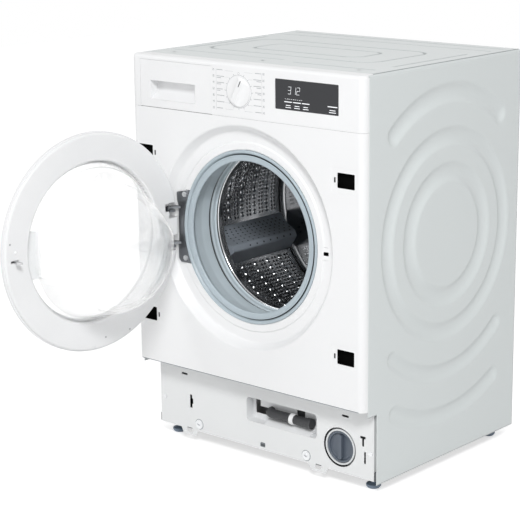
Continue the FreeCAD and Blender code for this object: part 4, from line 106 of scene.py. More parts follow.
class Finish:
    """A material with one Principled shader, whose patterns follow Object coordinates."""

    def __init__(self, name, colour, roughness, **constants):
        self.material = bpy.data.materials.new(name)
        self.material.use_nodes = True
        self.tree = self.material.node_tree
        self.sockets = self.tree.nodes["Principled BSDF"].inputs
        self.sockets["Base Color"].default_value = (*colour, 1.0)
        self.sockets["Roughness"].default_value = roughness
        for socket, value in constants.items():
            self.sockets[socket.replace("_", " ")].default_value = value
        self.where = Sock.node(self.tree, "ShaderNodeTexCoord", out="Object")

    def noise(self, scale, detail=2.0, roughness=0.5, where=None):
        return Sock.node(self.tree, "ShaderNodeTexNoise", {"noise_dimensions": "3D"},
                         {"Vector": where or self.where, "Scale": scale, "Detail": detail,
                          "Roughness": roughness}, "Fac")

    def tint(self, factor, dark, light):
        """A colour between two, by a factor from 0 to 1."""
        dark, light = [shade if isinstance(shade, Sock) else (*shade, 1.0) for shade in (dark, light)]
        return Sock.node(self.tree, "ShaderNodeMix", {"data_type": "RGBA"}, {0: factor, 6: dark, 7: light}, 2)

    def paint(self, socket, value):
        self.tree.links.new(value.socket, self.sockets[socket])

    def bump(self, height, distance):
        self.paint("Normal", Sock.node(self.tree, "ShaderNodeBump", None,
                                       {"Height": height, "Distance": distance, "Strength": 1.0}))


def shades(colour, dark, light):
    """A darker and a lighter shade of one colour."""
    return [tuple(min(1.0, by * c) for c in colour) for by in (dark, light)]


def zinc_coat(name, colour):
    """Zinc-coated steel: grey with a faint spangle."""
    finish = Finish(name, colour, 0.42, Metallic=0.75)
    spangle = Sock.node(finish.tree, "ShaderNodeTexVoronoi", {"feature": "F1"},
                        {"Vector": finish.where, "Scale": 90.0}, "Color")
    grey = Sock.node(finish.tree, "ShaderNodeSeparateColor", None, {"Color": spangle})
    finish.paint("Base Color", finish.tint(grey, *shades(colour, 0.88, 1.12)))
    finish.paint("Roughness", 0.36 + 0.14 * grey)
    return finish.material


def soften(piece, material, edge=0.0006, segments=2):
    """Gives a CAD node, or a copy of one, its finish: triangles joined to plain faces, edges broken."""
    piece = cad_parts[piece] if isinstance(piece, str) else piece
    piece.data.materials.clear()
    piece.data.materials.append(material)
    piece.data.polygons.foreach_set("use_smooth", [True] * len(piece.data.polygons))
    piece.data.polygons.foreach_set("material_index", [0] * len(piece.data.polygons))
    piece.modifiers.new("joined", "WELD").merge_threshold = JOIN_WITHIN
    flat = piece.modifiers.new("flats", "DECIMATE")
    flat.decimate_type = "DISSOLVE"
    flat.angle_limit = FLAT_WITHIN
    if edge:
        broken = piece.modifiers.new("edges", "BEVEL")
        broken.width = edge
        broken.segments = segments
        broken.limit_method = "ANGLE"
        broken.angle_limit = SHARP_FROM
        broken.harden_normals = True
    else:
        piece.modifiers.new("edges", "EDGE_SPLIT").split_angle = SHARP_FROM
    piece.modifiers.new("shading", "WEIGHTED_NORMAL").keep_sharp = True
    return piece


def place_piece(piece, body, slot, *nodes):
    """Fixes a finished piece to its body in place of the nodes that it stands for."""
    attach(piece, body)
    if nodes:
        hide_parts(*nodes)
    return piece


def new_piece(name, points=(), faces=(), material=None, smooth=False):
    """A mesh object in one finish, with its points and faces if it has any yet."""
    mesh = bpy.data.meshes.new(name)
    mesh.from_pydata(points, [], faces)
    if smooth:
        mesh.polygons.foreach_set("use_smooth", [True] * len(mesh.polygons))
    if material:
        mesh.materials.append(material)
    piece = bpy.data.objects.new(name, mesh)
    bpy.context.scene.collection.objects.link(piece)
    return piece


def reshaped(node, name, change):
    """A copy of a CAD node as an object of its own, its loose triangles joined, after a change to its mesh."""
    shape = bmesh.new()
    shape.from_mesh(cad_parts[node].data)
    bmesh.ops.remove_doubles(shape, verts=shape.verts[:], dist=JOIN_WITHIN)
    change(shape)
    piece = new_piece(name)
    shape.to_mesh(piece.data)
    shape.free()
    return piece


def cut_corner(shape):
    cut = bmesh.ops.bisect_plane(shape, geom=shape.verts[:] + shape.edges[:] + shape.faces[:],
                                 plane_co=CORNER_CUT, plane_no=CORNER_CUT_OUT, clear_outer=True)
    bmesh.ops.holes_fill(shape, edges=[e for e in cut["geom_cut"] if isinstance(e, bmesh.types.BMEdge)])


zinc = zinc_coat("zinc_coated_sheet", (0.10, 0.105, 0.11))
soften("front_crossbar", zinc)
base_ring = reshaped("base_frame", "base_ring", cut_corner)
place_piece(soften(base_ring, zinc, 0.0), "cabinet", "galvanised", "base_frame")

# Feet: four moulded pads on steel studs, turned up or down to level the machine and held by lock nuts that
# press against the base.


def moulded(name, colour, roughness, grain=0.00004, mottle=0.04):
    """Moulded plastic with a fine grain and a little unevenness in its colour and gloss."""
    finish = Finish(name, colour, roughness)
    finish.paint("Base Color", finish.tint(finish.noise(9.0, 3.0), *shades(colour, 1 - mottle, 1 + mottle)))
    finish.paint("Roughness", roughness - 0.05 + 0.1 * finish.noise(40.0))
    finish.bump(finish.noise(900.0, 1.0), grain)
    return finish.material


def bright_steel(name, colour, roughness, streak=(60.0, 60.0, 60.0)):
    """Bare or plated steel, with fine marks drawn out along one way."""
    finish = Finish(name, colour, roughness, Metallic=1.0)
    drawn = Sock.node(finish.tree, "ShaderNodeMapping", None, {"Vector": finish.where, "Scale": streak})
    marks = finish.noise(1.0, 4.0, 0.6, drawn)
    finish.paint("Base Color", finish.tint(marks, *shades(colour, 0.92, 1.08)))
    finish.paint("Roughness", roughness - 0.06 + 0.12 * marks)
    return finish.material


foot_plastic = moulded("foot_plastic", (0.20, 0.26, 0.34), 0.45)
nut_zinc = bright_steel("bright_zinc", (0.66, 0.67, 0.69), 0.28)
for corner in ("front_left", "front_right", "rear_left", "rear_right"):
    soften("foot_" + corner, foot_plastic, 0.0008, 3)
soften("foot_lock_nuts", nut_zinc, 0.0005)

# Side panels: deep-drawn steel sheet in pale grey stove enamel, stepped back over the plinth and folded in along
# the top. Rings and arcs pressed inwards round one centre keep the sheet from drumming.
SIDE_ENAMEL = (0.652, 0.690, 0.690)
SIDE_LOW, SIDE_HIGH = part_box("right_side_panel")
SHEET = 0.0008
NOTCH_TOP = 0.165
NOTCH_BACK = {"right_side_panel": -0.2135, "left_side_panel": -0.1915}
NOTCH_SNAP = 0.0015
TOP_FOLD = 0.004
TOP_FOLD_IN = 0.2914
TOP_FOLD_DOWN = 0.005
FOLD_STEPS = 6
BEAD_CENTRE = (0.010, 0.479)
BEAD_DEPTH = 0.0070
BEAD_ROLL = 0.0016
BEAD_SIZES = ("radius", "half width", "from", "to")
BEADS = {"Outer ring": (0.1945, 0.0185, -math.pi, math.pi), "Inner ring": (0.124, 0.020, -math.pi, math.pi),
         "Upper arc": (0.2795, 0.0195, math.radians(51), math.radians(129)),
         "Lower arc": (0.278, 0.017, math.radians(-129), math.radians(-51)),
         "Foot arc": (0.368, 0.018, math.radians(-117), math.radians(-63))}
PANEL_COLUMNS, PANEL_ROWS = 157, 249


def enamel(name, colour, roughness):
    """Stove enamel on steel: slight orange peel under a clear gloss, colour a touch uneven."""
    finish = Finish(name, colour, roughness, Coat_Weight=0.25, Coat_Roughness=0.18)
    finish.paint("Base Color", finish.tint(finish.noise(2.2), *shades(colour, 0.985, 1.012)))
    finish.paint("Roughness", roughness - 0.03 + 0.06 * finish.noise(14.0))
    finish.bump(finish.noise(260.0), 0.00003)
    return finish.material


def sizes_of(forms, names):
    """The named sizes of several like forms, one entry for each size of each form."""
    return {form + " " + name: value for form, values in forms.items() for name, value in zip(names, values)}


def new_tree(name, sizes):
    """An empty geometry tree with a named input for every size; returns the tree and its sockets by name."""
    tree = bpy.data.node_groups.new(name, "GeometryNodeTree")
    tree.interface.new_socket("Geometry", in_out="OUTPUT", socket_type="NodeSocketGeometry")
    for size in sizes:
        kind = {"Count": "Int", "Shape": "Object"}.get(size.split()[0], "Float")
        tree.interface.new_socket(size, in_out="INPUT", socket_type="NodeSocket" + kind)
    tree.interface.new_socket("Finish", in_out="INPUT", socket_type="NodeSocketMaterial")
    entry = tree.nodes.new("NodeGroupInput")
    return tree, {out.name: Sock(tree, out) for out in entry.outputs if out.name}


def worked(tree, operation, settings=None, **inputs):
    """A geometry after one operation."""
    return Sock.node(tree, "GeometryNode" + operation, settings, inputs)


def flat_grid(tree, width, height, columns, rows):
    sizes = {"Size X": width, "Size Y": height, "Vertices X": columns, "Vertices Y": rows}
    return Sock.node(tree, "GeometryNodeMeshGrid", None, sizes, "Mesh")


def moved(tree, shape, x, y, z):
    """A geometry with all its points at the places given, shaded smooth."""
    place = Sock.node(tree, "ShaderNodeCombineXYZ", None, {0: x, 1: y, 2: z})
    return worked(tree, "SetShadeSmooth", Geometry=worked(tree, "SetPosition", Geometry=shape, Position=place))


def close_tree(tree, sockets, shape):
    """Realizes what the tree made, gives it its finish and leads it out."""
    whole = worked(tree, "RealizeInstances", Geometry=shape)
    painted = worked(tree, "SetMaterial", Geometry=whole, Material=sockets["Finish"])
    tree.links.new(painted.socket, tree.nodes.new("NodeGroupOutput").inputs[0])
    return tree


def grown(name, tree, sizes, material):
    """Runs a geometry tree once and keeps the result as a plain mesh object."""
    piece = new_piece(name)
    maker = piece.modifiers.new("shape", "NODES")
    maker.node_group = tree
    for item in tree.interface.items_tree:
        if item.in_out == "INPUT":
            maker[item.identifier] = material if item.name == "Finish" else sizes[item.name]
    bpy.context.view_layer.update()
    depsgraph = bpy.context.evaluated_depsgraph_get()
    shape = bpy.data.meshes.new_from_object(piece.evaluated_get(depsgraph), depsgraph=depsgraph)
    piece.modifiers.remove(maker)
    piece.data = shape
    shape.name = name
    return piece


def beaded_sheet(sizes):
    """A grid of the sheet's size, sunk where a bead's middle line is near and cut out at the notch."""
    tree, size = new_tree("beaded_sheet", sizes)
    grid = flat_grid(tree, size["Length"], size["Height"], PANEL_COLUMNS, PANEL_ROWS)
    first, second, third = Sock.node(tree, "GeometryNodeInputPosition").axes()

    def snapped(place, line):
        """Rows of points close to a cut are moved onto it."""
        return place + (line - place) * (place - line).math("ABSOLUTE").math("LESS_THAN", NOTCH_SNAP)

    y = snapped(first + size["Middle Y"], size["Notch Back"])
    z = snapped(second + size["Middle Z"], size["Notch Top"])
    out_y, out_z = y - size["Bead Y"], z - size["Bead Z"]
    angle = out_z.math("ARCTAN2", out_y)
    sunk = 0
    for bead in BEADS:
        radius, half_width, start, end = [size[bead + " " + name] for name in BEAD_SIZES]
        nearest = angle.held(start, end)
        to_y = out_y - radius * nearest.math("COSINE")
        to_z = out_z - radius * nearest.math("SINE")
        away = (to_y * to_y + to_z * to_z) / (half_width * half_width)
        sunk = (size["Sink"] * (1 - away)).math("SMOOTH_MAX", 0.0, size["Roll"]) + sunk
    pressed = moved(tree, grid, size["Face"] - sunk, y, z)
    notch = second.math("LESS_THAN", size["Notch Back"]) * third.math("LESS_THAN", size["Notch Top"])
    sheet = worked(tree, "DeleteGeometry", {"domain": "FACE"}, Geometry=pressed, Selection=notch)
    return close_tree(tree, size, sheet)


panel_sizes = {"Length": SIDE_HIGH.y - SIDE_LOW.y, "Height": SIDE_HIGH.z - TOP_FOLD - SIDE_LOW.z,
               "Middle Y": (SIDE_LOW.y + SIDE_HIGH.y) / 2, "Middle Z": (SIDE_LOW.z + SIDE_HIGH.z - TOP_FOLD) / 2,
               "Face": SIDE_HIGH.x, "Sink": BEAD_DEPTH, "Roll": BEAD_ROLL, "Bead Y": BEAD_CENTRE[0],
               "Bead Z": BEAD_CENTRE[1], "Notch Top": NOTCH_TOP, **sizes_of(BEADS, BEAD_SIZES)}
side_enamel = enamel("pale_grey_enamel", SIDE_ENAMEL, 0.38)
sheet_tree = beaded_sheet([*panel_sizes, "Notch Back"])
bend = []
for step in range(FOLD_STEPS + 1):
    angle = math.radians(90.0 * step / FOLD_STEPS)
    bend.append((SIDE_HIGH.x - TOP_FOLD * (1 - math.cos(angle)), SIDE_HIGH.z - TOP_FOLD * (1 - math.sin(angle))))
bend += [(TOP_FOLD_IN, SIDE_HIGH.z), (TOP_FOLD_IN, SIDE_HIGH.z - TOP_FOLD_DOWN)]
for side, node in ((1, "right_side_panel"), (-1, "left_side_panel")):
    panel = grown(node + "_sheet", sheet_tree, {**panel_sizes, "Notch Back": NOTCH_BACK[node]}, side_enamel)
    panel.data.transform(Matrix.Diagonal((side, 1, 1, 1)))
    if side < 0:
        panel.data.flip_normals()
    wall = panel.modifiers.new("thickness", "SOLIDIFY")
    wall.thickness = SHEET
    wall.offset = -1.0
    place_piece(panel, "cabinet", "white_steel", node)
    fold = new_piece(node + "_fold", [(side * x, y, z) for x, z in bend for y in (SIDE_LOW.y, SIDE_HIGH.y)],
                     [(2 * k, 2 * k + 1, 2 * k + 3, 2 * k + 2)[::side] for k in range(len(bend) - 1)], side_enamel)
    for face in fold.data.polygons[:FOLD_STEPS + 1]:
        face.use_smooth = True
    place_piece(fold, "cabinet", "white_steel")

# Rear wall: a bare zinc-coated sheet with a bulged cover over the belt, plugs in the transit bolt holes, the
# screw thread of the inlet valve and the spigot for the drain hose.
soften("rear_panel", zinc_coat("rear_sheet", (0.60, 0.61, 0.62)))
cover_plastic = moulded("rear_cover_plastic", (0.62, 0.64, 0.65), 0.5)
soften("rear_cover", cover_plastic, 0.001, 3)
soften("rear_plugs", cover_plastic)
soften("inlet_valve", moulded("inlet_plastic", (0.72, 0.73, 0.72), 0.4))
soften("drain_outlet", moulded("drain_plastic", (0.10, 0.10, 0.11), 0.5))

# Tub and drive, hung inside on springs and steadied by dampers: grey glass-filled plastic in two halves, cast
# ballast, motor, belt and pulleys, heater and hoses. Only glimpses of it show.
# The tub is painted far darker than its grey plastic: painted shade, so that the drum's holes look dark.
tub_plastic = moulded("tub_plastic", (0.10, 0.105, 0.11), 0.55)
for node in ("tub_front", "tub_rear", "tub_hoses"):
    soften(node, tub_plastic, 0.0)
alloy = bright_steel("cast_alloy", (0.62, 0.63, 0.64), 0.42)
for node in ("drum_pulley", "motor", "drum_spider"):
    soften(node, alloy, 0.0008)
drive_steel = bright_steel("turned_steel", (0.55, 0.56, 0.57), 0.3)
for node in ("drum_bearings", "drum_shaft", "pulley_bolt", "motor_pulley", "heater", "suspension_springs"):
    soften(node, drive_steel, 0.0)
soften("dampers", moulded("damper_plastic", (0.08, 0.08, 0.09), 0.45), 0.0)
soften("drive_belt", moulded("belt_rubber", (0.03, 0.03, 0.03), 0.7), 0.0)
soften("ballast_blocks", moulded("cast_concrete", (0.36, 0.35, 0.33), 0.85, 0.0003, 0.2), 0.002)

# Drum: stainless sheet rolled to a cylinder, seamed to a pressed front with a rolled mouth and to a pressed back.
# Rows of round bumps and pairs of rows of drain holes cover it between the lifters.
AXIS_HEIGHT = 0.474
DRUM_LOW, DRUM_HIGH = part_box("drum")
DRUM_RADIUS = DRUM_HIGH.x
DRUM_SHEET = 0.001
HALF_SHEET = DRUM_SHEET / 2
FIELD_SHEET = 0.9 * DRUM_SHEET
DRUM_WALL = DRUM_RADIUS - DRUM_SHEET
MIDDLE_SHEET = DRUM_RADIUS - HALF_SHEET
MOUTH_RADIUS, MOUTH_ROLL, MOUTH_BENDS = 0.162, 0.0165, [0.003, 0.010]
FRONT_CONE = 0.016
BACK_FLAT_R, BACK_STEP_R, BACK_SINK, BACK_BENDS = 0.110, 0.150, 0.0145, [0.012, 0.016, 0.016]
BACK_MIDDLE_R = 0.0004
JOINT_PATH = ((0.0009, 0.0165), (0.0012, 0.0125))
JOINT_THICK = 0.0004
TILE_LENGTH, TILE_WIDTH = 0.040, 0.0162
TILES_ALONG, TILES_ROUND = 6, 24
TILE_MIDDLE_Y = -0.0125
TILE_JOIN = 0.00005
HOLE_RADIUS, HOLE_RIM, HOLE_SINK = 0.0020, 0.0032, 0.0007
BUMP_LENGTH, BUMP_RADIUS, BUMP_HEIGHT = 0.022, 0.0066, 0.0029
BUMP_RINGS = ((1.0, 0.0), (0.78, 0.60), (0.42, 0.95))
LIFTERS, LIFTER_TURN = 3, 199.8
SEAM_STEPS = 12
RIM_SPLIT = math.radians(50.0)


def rounded(corners, radii, steps=6):
    """The corners of an open path with an arc put into each inner one."""
    path = [Vector(corners[0])]
    for before, corner, after, radius in zip(corners, corners[1:], corners[2:], radii):
        corner = Vector(corner)
        back, on = (Vector(before) - corner).normalized(), (Vector(after) - corner).normalized()
        half = math.acos(max(-1.0, min(1.0, back.dot(on)))) / 2
        centre = corner + (back + on).normalized() * (radius / math.sin(half))
        first, last = corner + back * (radius / math.tan(half)), corner + on * (radius / math.tan(half))
        sweep = math.pi - 2 * half
        for step in range(steps + 1):
            share = step / steps
            spoke = ((first - centre) * math.sin((1 - share) * sweep)
                     + (last - centre) * math.sin(share * sweep)) / math.sin(sweep)
            path.append(centre + spoke)
    return path + [Vector(corners[-1])]


def turned(name, path, material, start_y=0.0, turns=(0.0, 360.0), segments=96):
    """A sheet turned about the drum axis from a path of (radius, y); closed when it goes all the way round."""
    count = segments if turns[1] - turns[0] == 360.0 else segments + 1
    points, faces = [], []
    for step in range(count):
        angle = math.radians(turns[0] + (turns[1] - turns[0]) * step / segments)
        points += [(r * math.cos(angle), start_y + y, AXIS_HEIGHT + r * math.sin(angle)) for r, y in path]
    size = len(path)
    for step in range(segments):
        here, there = step * size, (step + 1) % count * size
        faces += [(here + k, there + k, there + k + 1, here + k + 1) for k in range(size - 1)]
    return new_piece(name, points, faces, material, True)


def thicken(piece, thickness, offset=0.0):
    wall = piece.modifiers.new("thickness", "SOLIDIFY")
    wall.thickness = thickness
    wall.offset = offset
    piece.modifiers.new("rims", "EDGE_SPLIT").split_angle = RIM_SPLIT
    return piece


def pressed_tile():
    """One field of the sheet: a bump beside two columns of two holes, its corners shared with its neighbours."""
    mesh = bpy.data.meshes.new("drum_field")
    shape = bmesh.new()
    known = {}

    def spot(u, v, h=0.0):
        key = (round(u * 1e6), round(v * 1e6), round(h * 1e6))
        if key not in known:
            known[key] = shape.verts.new((u - TILE_WIDTH / 2, v - TILE_LENGTH / 2, h))
        return known[key]

    def octagon(u, v, radius, h, first=22.5):
        angles = [math.radians(first + 45 * k) for k in range(8)]
        return [spot(u + radius * math.cos(angle), v + radius * math.sin(angle), h) for angle in angles]

    def band(outer, inner):
        for k in range(8):
            shape.faces.new((outer[k], outer[(k + 1) % 8], inner[(k + 1) % 8], inner[k]))

    row, column = TILE_WIDTH / 2, (TILE_LENGTH - BUMP_LENGTH) / 2
    for i in range(2):
        for j in range(2):
            u0, v0, u1, v1 = i * row, BUMP_LENGTH + j * column, (i + 1) * row, BUMP_LENGTH + (j + 1) * column
            hole = octagon((u0 + u1) / 2, (v0 + v1) / 2, HOLE_RIM, 0.0)
            band(hole, octagon((u0 + u1) / 2, (v0 + v1) / 2, HOLE_RADIUS, -HOLE_SINK))
            square = [spot(u1, v1), spot(u0, v1), spot(u0, v0), spot(u1, v0)]
            for k, corner in enumerate(square):
                shape.faces.new((corner, hole[2 * k + 1], hole[2 * k]))
                shape.faces.new((corner, square[(k + 1) % 4], hole[(2 * k + 2) % 8], hole[2 * k + 1]))
    high, middle = BUMP_LENGTH, BUMP_LENGTH / 2
    rings = [[spot(u, v) for u, v in ((2 * row, high), (row, high), (0, high), (0, middle),
                                      (0, 0), (row, 0), (2 * row, 0), (2 * row, middle))]]
    for share, rise in BUMP_RINGS:
        rings.append(octagon(row, middle, BUMP_RADIUS * share, BUMP_HEIGHT * rise, 45.0))
        band(rings[-2], rings[-1])
    shape.faces.new(rings[-1])
    shape.normal_update()
    shape.to_mesh(mesh)
    shape.free()
    mesh.polygons.foreach_set("use_smooth", [True] * len(mesh.polygons))
    return bpy.data.objects.new("drum_field", mesh)


def shape_of(tree, source):
    return Sock.node(tree, "GeometryNodeObjectInfo", None, {"Object": source}, "Geometry")


def rolled_field(sizes):
    """Tiles laid out flat, joined to one sheet and bent round the drum axis."""
    tree, size = new_tree("rolled_field", sizes)
    across, along = size["Count round"], size["Count along"]
    grid = flat_grid(tree, size["Width"] * (across - 1), size["Length"] * (along - 1), across, along)
    laid = worked(tree, "InstanceOnPoints", Points=grid, Instance=shape_of(tree, size["Shape"]))
    sheet = worked(tree, "RealizeInstances", Geometry=laid)
    joined = worked(tree, "MergeByDistance", Geometry=sheet, Distance=TILE_JOIN)
    x, y, high = Sock.node(tree, "GeometryNodeInputPosition").axes()
    angle = size["Turn"] + x / size["Radius"]
    radius = size["Radius"] - high
    return close_tree(tree, size, moved(tree, joined, radius * angle.math("COSINE"), size["Middle Y"] + y,
                                        size["Axis Z"] + radius * angle.math("SINE")))


stainless = bright_steel("stainless", (0.60, 0.605, 0.615), 0.20, (8.0, 60.0, 60.0))
# The back is a darker copy of the stainless: painted shade, standing for the dark inside of the drum that it
# reflects.
back_steel_shaded = bright_steel("back_steel_shaded", (0.40, 0.405, 0.415), 0.18, (60.0, 8.0, 60.0))
field_front = TILE_MIDDLE_Y - TILE_LENGTH * TILES_ALONG / 2
field_back = TILE_MIDDLE_Y + TILE_LENGTH * TILES_ALONG / 2
field_half = math.degrees(TILE_WIDTH * TILES_ROUND / 2 / DRUM_WALL)
drum_front = turned("drum_front", rounded(
    [(MOUTH_RADIUS + HALF_SHEET, DRUM_LOW.y + MOUTH_ROLL), (MOUTH_RADIUS + HALF_SHEET, DRUM_LOW.y + HALF_SHEET),
     (MIDDLE_SHEET, DRUM_LOW.y + FRONT_CONE), (MIDDLE_SHEET, field_front)], MOUTH_BENDS), stainless)
drum_back = turned("drum_back", rounded(
    [(MIDDLE_SHEET, field_back), (MIDDLE_SHEET, DRUM_HIGH.y - HALF_SHEET), (BACK_STEP_R, DRUM_HIGH.y - HALF_SHEET),
     (BACK_FLAT_R, DRUM_HIGH.y - BACK_SINK), (BACK_MIDDLE_R, DRUM_HIGH.y - BACK_SINK)], BACK_BENDS), back_steel_shaded)
for sheet in (drum_front, drum_back):
    place_piece(thicken(sheet, DRUM_SHEET), "basket", "stainless")
joint = turned("drum_back_joint", [(MIDDLE_SHEET - inward, DRUM_HIGH.y - ahead) for inward, ahead in JOINT_PATH],
               moulded("joint_dark", (0.006, 0.006, 0.007), 0.6))
place_piece(thicken(joint, JOINT_THICK, -1.0), "basket", "stainless")
field_sizes = {"Count round": TILES_ROUND, "Count along": TILES_ALONG, "Width": TILE_WIDTH, "Length": TILE_LENGTH,
               "Radius": DRUM_WALL, "Middle Y": TILE_MIDDLE_Y, "Axis Z": AXIS_HEIGHT, "Shape": pressed_tile()}
field_tree = rolled_field([*field_sizes, "Turn"])
for k in range(LIFTERS):
    turn = LIFTER_TURN + 360.0 / LIFTERS * (k + 0.5)
    field = grown("drum_field_%d" % (k + 1), field_tree, {**field_sizes, "Turn": math.radians(turn)}, stainless)
    place_piece(thicken(field, FIELD_SHEET, -1.0), "basket", "stainless", *(["drum"] if k == 0 else []))
    seam = turned("drum_seam_%d" % (k + 1), [(MIDDLE_SHEET, field_front), (MIDDLE_SHEET, field_back)], stainless,
                  turns=(turn + field_half, turn + 360.0 / LIFTERS - field_half), segments=SEAM_STEPS)
    place_piece(thicken(seam, DRUM_SHEET), "basket", "stainless")
bpy.data.objects.remove(field_sizes["Shape"])

# Lifters: three hollow plastic paddles clipped into the drum wall, their rear ends slanted, with rows of small
# holes that let water run through and a row of them along the nose.
END_SLANT = 0.034
LIFTER_HEIGHT = 0.062
HOLES_FRONT_Y, HOLES_BACK_Y = -0.092, 0.112
HOLE_ROWS, HOLE_COLUMNS = 6, 13
ROWS_ASIDE, ROWS_FAN = (-0.030, 0.0025), (0.80, 1.0)
NOSE_HOLES, NOSE_ASIDE, NOSE_FRONT_Y = 9, 0.0135, -0.062
PROBE_FROM, PROBE_LENGTH = 0.10, 0.128


def studded():
    """One shape set on every point of a mesh, turned to the way that the point faces."""
    tree, size = new_tree("studded", ["Shape points", "Shape"])
    facing = worked(tree, "InputNamedAttribute", {"data_type": "FLOAT_VECTOR"}, Name="facing")
    turn = Sock.node(tree, "FunctionNodeAlignRotationToVector", {"axis": "Z"}, {"Vector": facing})
    points, stud = shape_of(tree, size["Shape points"]), shape_of(tree, size["Shape"])
    return close_tree(tree, size, worked(tree, "InstanceOnPoints", Points=points, Instance=stud, Rotation=turn))


stud_tree = studded()


def set_on(name, shape, places, material):
    """Copies of a small shape, one at each (point, way it faces)."""
    marks = bpy.data.meshes.new(name + "_points")
    marks.from_pydata([point for point, way in places], [], [])
    facing = marks.attributes.new("facing", "FLOAT_VECTOR", "POINT")
    facing.data.foreach_set("vector", [c for point, way in places for c in way])
    holder = bpy.data.objects.new(name + "_points", marks)
    piece = grown(name, stud_tree, {"Shape points": holder, "Shape": shape}, material)
    bpy.data.objects.remove(holder)
    return piece


def lathe(name, path, sides=8):
    """A small turned shape about +Z from a path of (radius, height), closed at its last ring."""
    angles = [2 * math.pi * k / sides for k in range(sides)]
    points = [(r * math.cos(angle), r * math.sin(angle), h) for r, h in path for angle in angles]
    faces = [(first + k, first + (k + 1) % sides, first + sides + (k + 1) % sides, first + sides + k)
             for first in range(0, len(points) - sides, sides) for k in range(sides)]
    mesh = bpy.data.meshes.new(name)
    mesh.from_pydata(points, [], faces + [tuple(range(len(points) - sides, len(points)))])
    return bpy.data.objects.new(name, mesh)


def slant_ends(shape):
    for vert in shape.verts:
        tall = (DRUM_WALL - math.hypot(vert.co.x, vert.co.z - AXIS_HEIGHT)) / LIFTER_HEIGHT
        if vert.co.y > 0:
            vert.co.y -= END_SLANT * max(0.0, tall)


lifter_plastic = moulded("lifter_plastic", (0.30, 0.335, 0.38), 0.4)
# Near-black paint for holes and slots: painted shade standing for their dark insides. The lifter holes are small
# discs of it on the paddle.
hole_shade = moulded("hole_shade", (0.006, 0.006, 0.007), 0.8)
lifters = soften(reshaped("drum_lifters", "drum_paddles", slant_ends), lifter_plastic, 0.003, 3)
place_piece(lifters, "basket", "lifter", "drum_lifters")
bpy.context.view_layer.update()
paddle = BVHTree.FromObject(lifters, bpy.context.evaluated_depsgraph_get())
rows = list(zip(np.linspace(*ROWS_ASIDE, HOLE_ROWS), np.linspace(*ROWS_FAN, HOLE_ROWS)))
spots = [(aside, (HOLES_FRONT_Y + HOLES_BACK_Y) / 2 + share * (HOLES_BACK_Y - HOLES_FRONT_Y) * fan)
         for share in np.linspace(-0.5, 0.5, HOLE_COLUMNS) for aside, fan in rows]
spots += [(NOSE_ASIDE, y) for y in np.linspace(NOSE_FRONT_Y, HOLES_BACK_Y, NOSE_HOLES)]
places = []
for k in range(LIFTERS):
    turn = math.radians(LIFTER_TURN + 360.0 / LIFTERS * k)
    out = Vector((math.cos(turn), 0, math.sin(turn)))
    across = Vector((-math.sin(turn), 0, math.cos(turn)))
    for aside, y in spots:
        start = Vector((0, y, AXIS_HEIGHT)) + across * aside + out * PROBE_FROM
        hit, normal = paddle.ray_cast(start, out, PROBE_LENGTH)[:2]
        if hit is not None:
            places.append((hit, normal))
eyelet = lathe("lifter_hole", [(0.0023, -0.0004), (0.0021, 0.00012)])
place_piece(set_on("lifter_holes", eyelet, places, hole_shade), "basket", "lifter")

# Door gasket: a soft grey rubber bellows, clamped on the collar of the front panel and in the mouth of the tub.
# Behind its outer bead runs a crease, then the lip that the glass presses on, and two folds by the drum.
FRONT_Y = -0.2575
GASKET_THICK = 0.0034
RUBBER, INNER_RUBBER_LIT, CREASE_SHADE = (0.48, 0.56, 0.61), (0.66, 0.75, 0.80), (0.07, 0.075, 0.08)
CREASE_RADIUS, CREASE_END = 0.1572, 0.0285
CREASE_FROM, CREASE_FADE = 0.0178, 0.0030
CREASE_LEFT, CREASE_RIGHT, CREASE_LEAST = -0.13, 0.16, 0.15
FOLDS_FROM, FOLD_RADIUS, FOLD_FADE = 0.072, 0.1665, 0.003
PALE_FROM, PALE_FADE = 0.022, 0.02
BELLOWS = [(0.1737, 0.036), (0.1737, 0.0160), (0.1688, 0.0160), (0.1615, 0.0262), (0.1592, 0.0262),
           (0.1650, 0.0174), (0.1483, 0.0182), (0.1650, 0.038), (0.1672, 0.060), (0.1648, 0.0808),
           (0.1765, 0.0850), (0.1645, 0.0890), (0.1640, 0.0965), (0.1745, 0.0990), (0.1640, 0.1012),
           (0.1660, 0.1014), (0.1810, 0.1005), (0.1810, 0.068)]
BELLOWS_BENDS = [0.0016, 0.0014, 0.0006, 0.0006, 0.0008, 0.0030, 0.010, 0.030, 0.0014, 0.0008, 0.0014, 0.0010,
                 0.0005, 0.0005, 0.0005, 0.003]
rubber = Finish("gasket_rubber", RUBBER, 0.36)
x, y, z = rubber.where.axes()
z = z - AXIS_HEIGHT
radius, deep = (x * x + z * z).math("SQRT"), y - FRONT_Y
# The rubber's colour carries painted light and shade. The crease behind the outer bead, more towards the right, and
# the outer sides of the folds by the drum are painted dark as shade. The inner wall is painted paler than the front
# ring as the light that falls on it. The noise is a real unevenness of tone.
in_crease = radius.math("GREATER_THAN", CREASE_RADIUS) * deep.math("LESS_THAN", CREASE_END)
in_crease = in_crease * deep.rise(CREASE_FROM, CREASE_FADE) * x.rise(CREASE_LEFT, CREASE_RIGHT, CREASE_LEAST)
in_fold = deep.math("GREATER_THAN", FOLDS_FROM) * radius.rise(FOLD_RADIUS, FOLD_FADE)
mottle_and_shade = rubber.noise(9.0) * 0.25 + in_crease.math("MAXIMUM", in_fold)
pale = rubber.tint(deep.rise(PALE_FROM, PALE_FADE), RUBBER, INNER_RUBBER_LIT)
rubber.paint("Base Color", rubber.tint(mottle_and_shade.math("MINIMUM", 1.0), pale, CREASE_SHADE))
rubber.paint("Roughness", 0.32 + 0.10 * rubber.noise(22.0))
rubber.bump(rubber.noise(420.0), 0.00002)
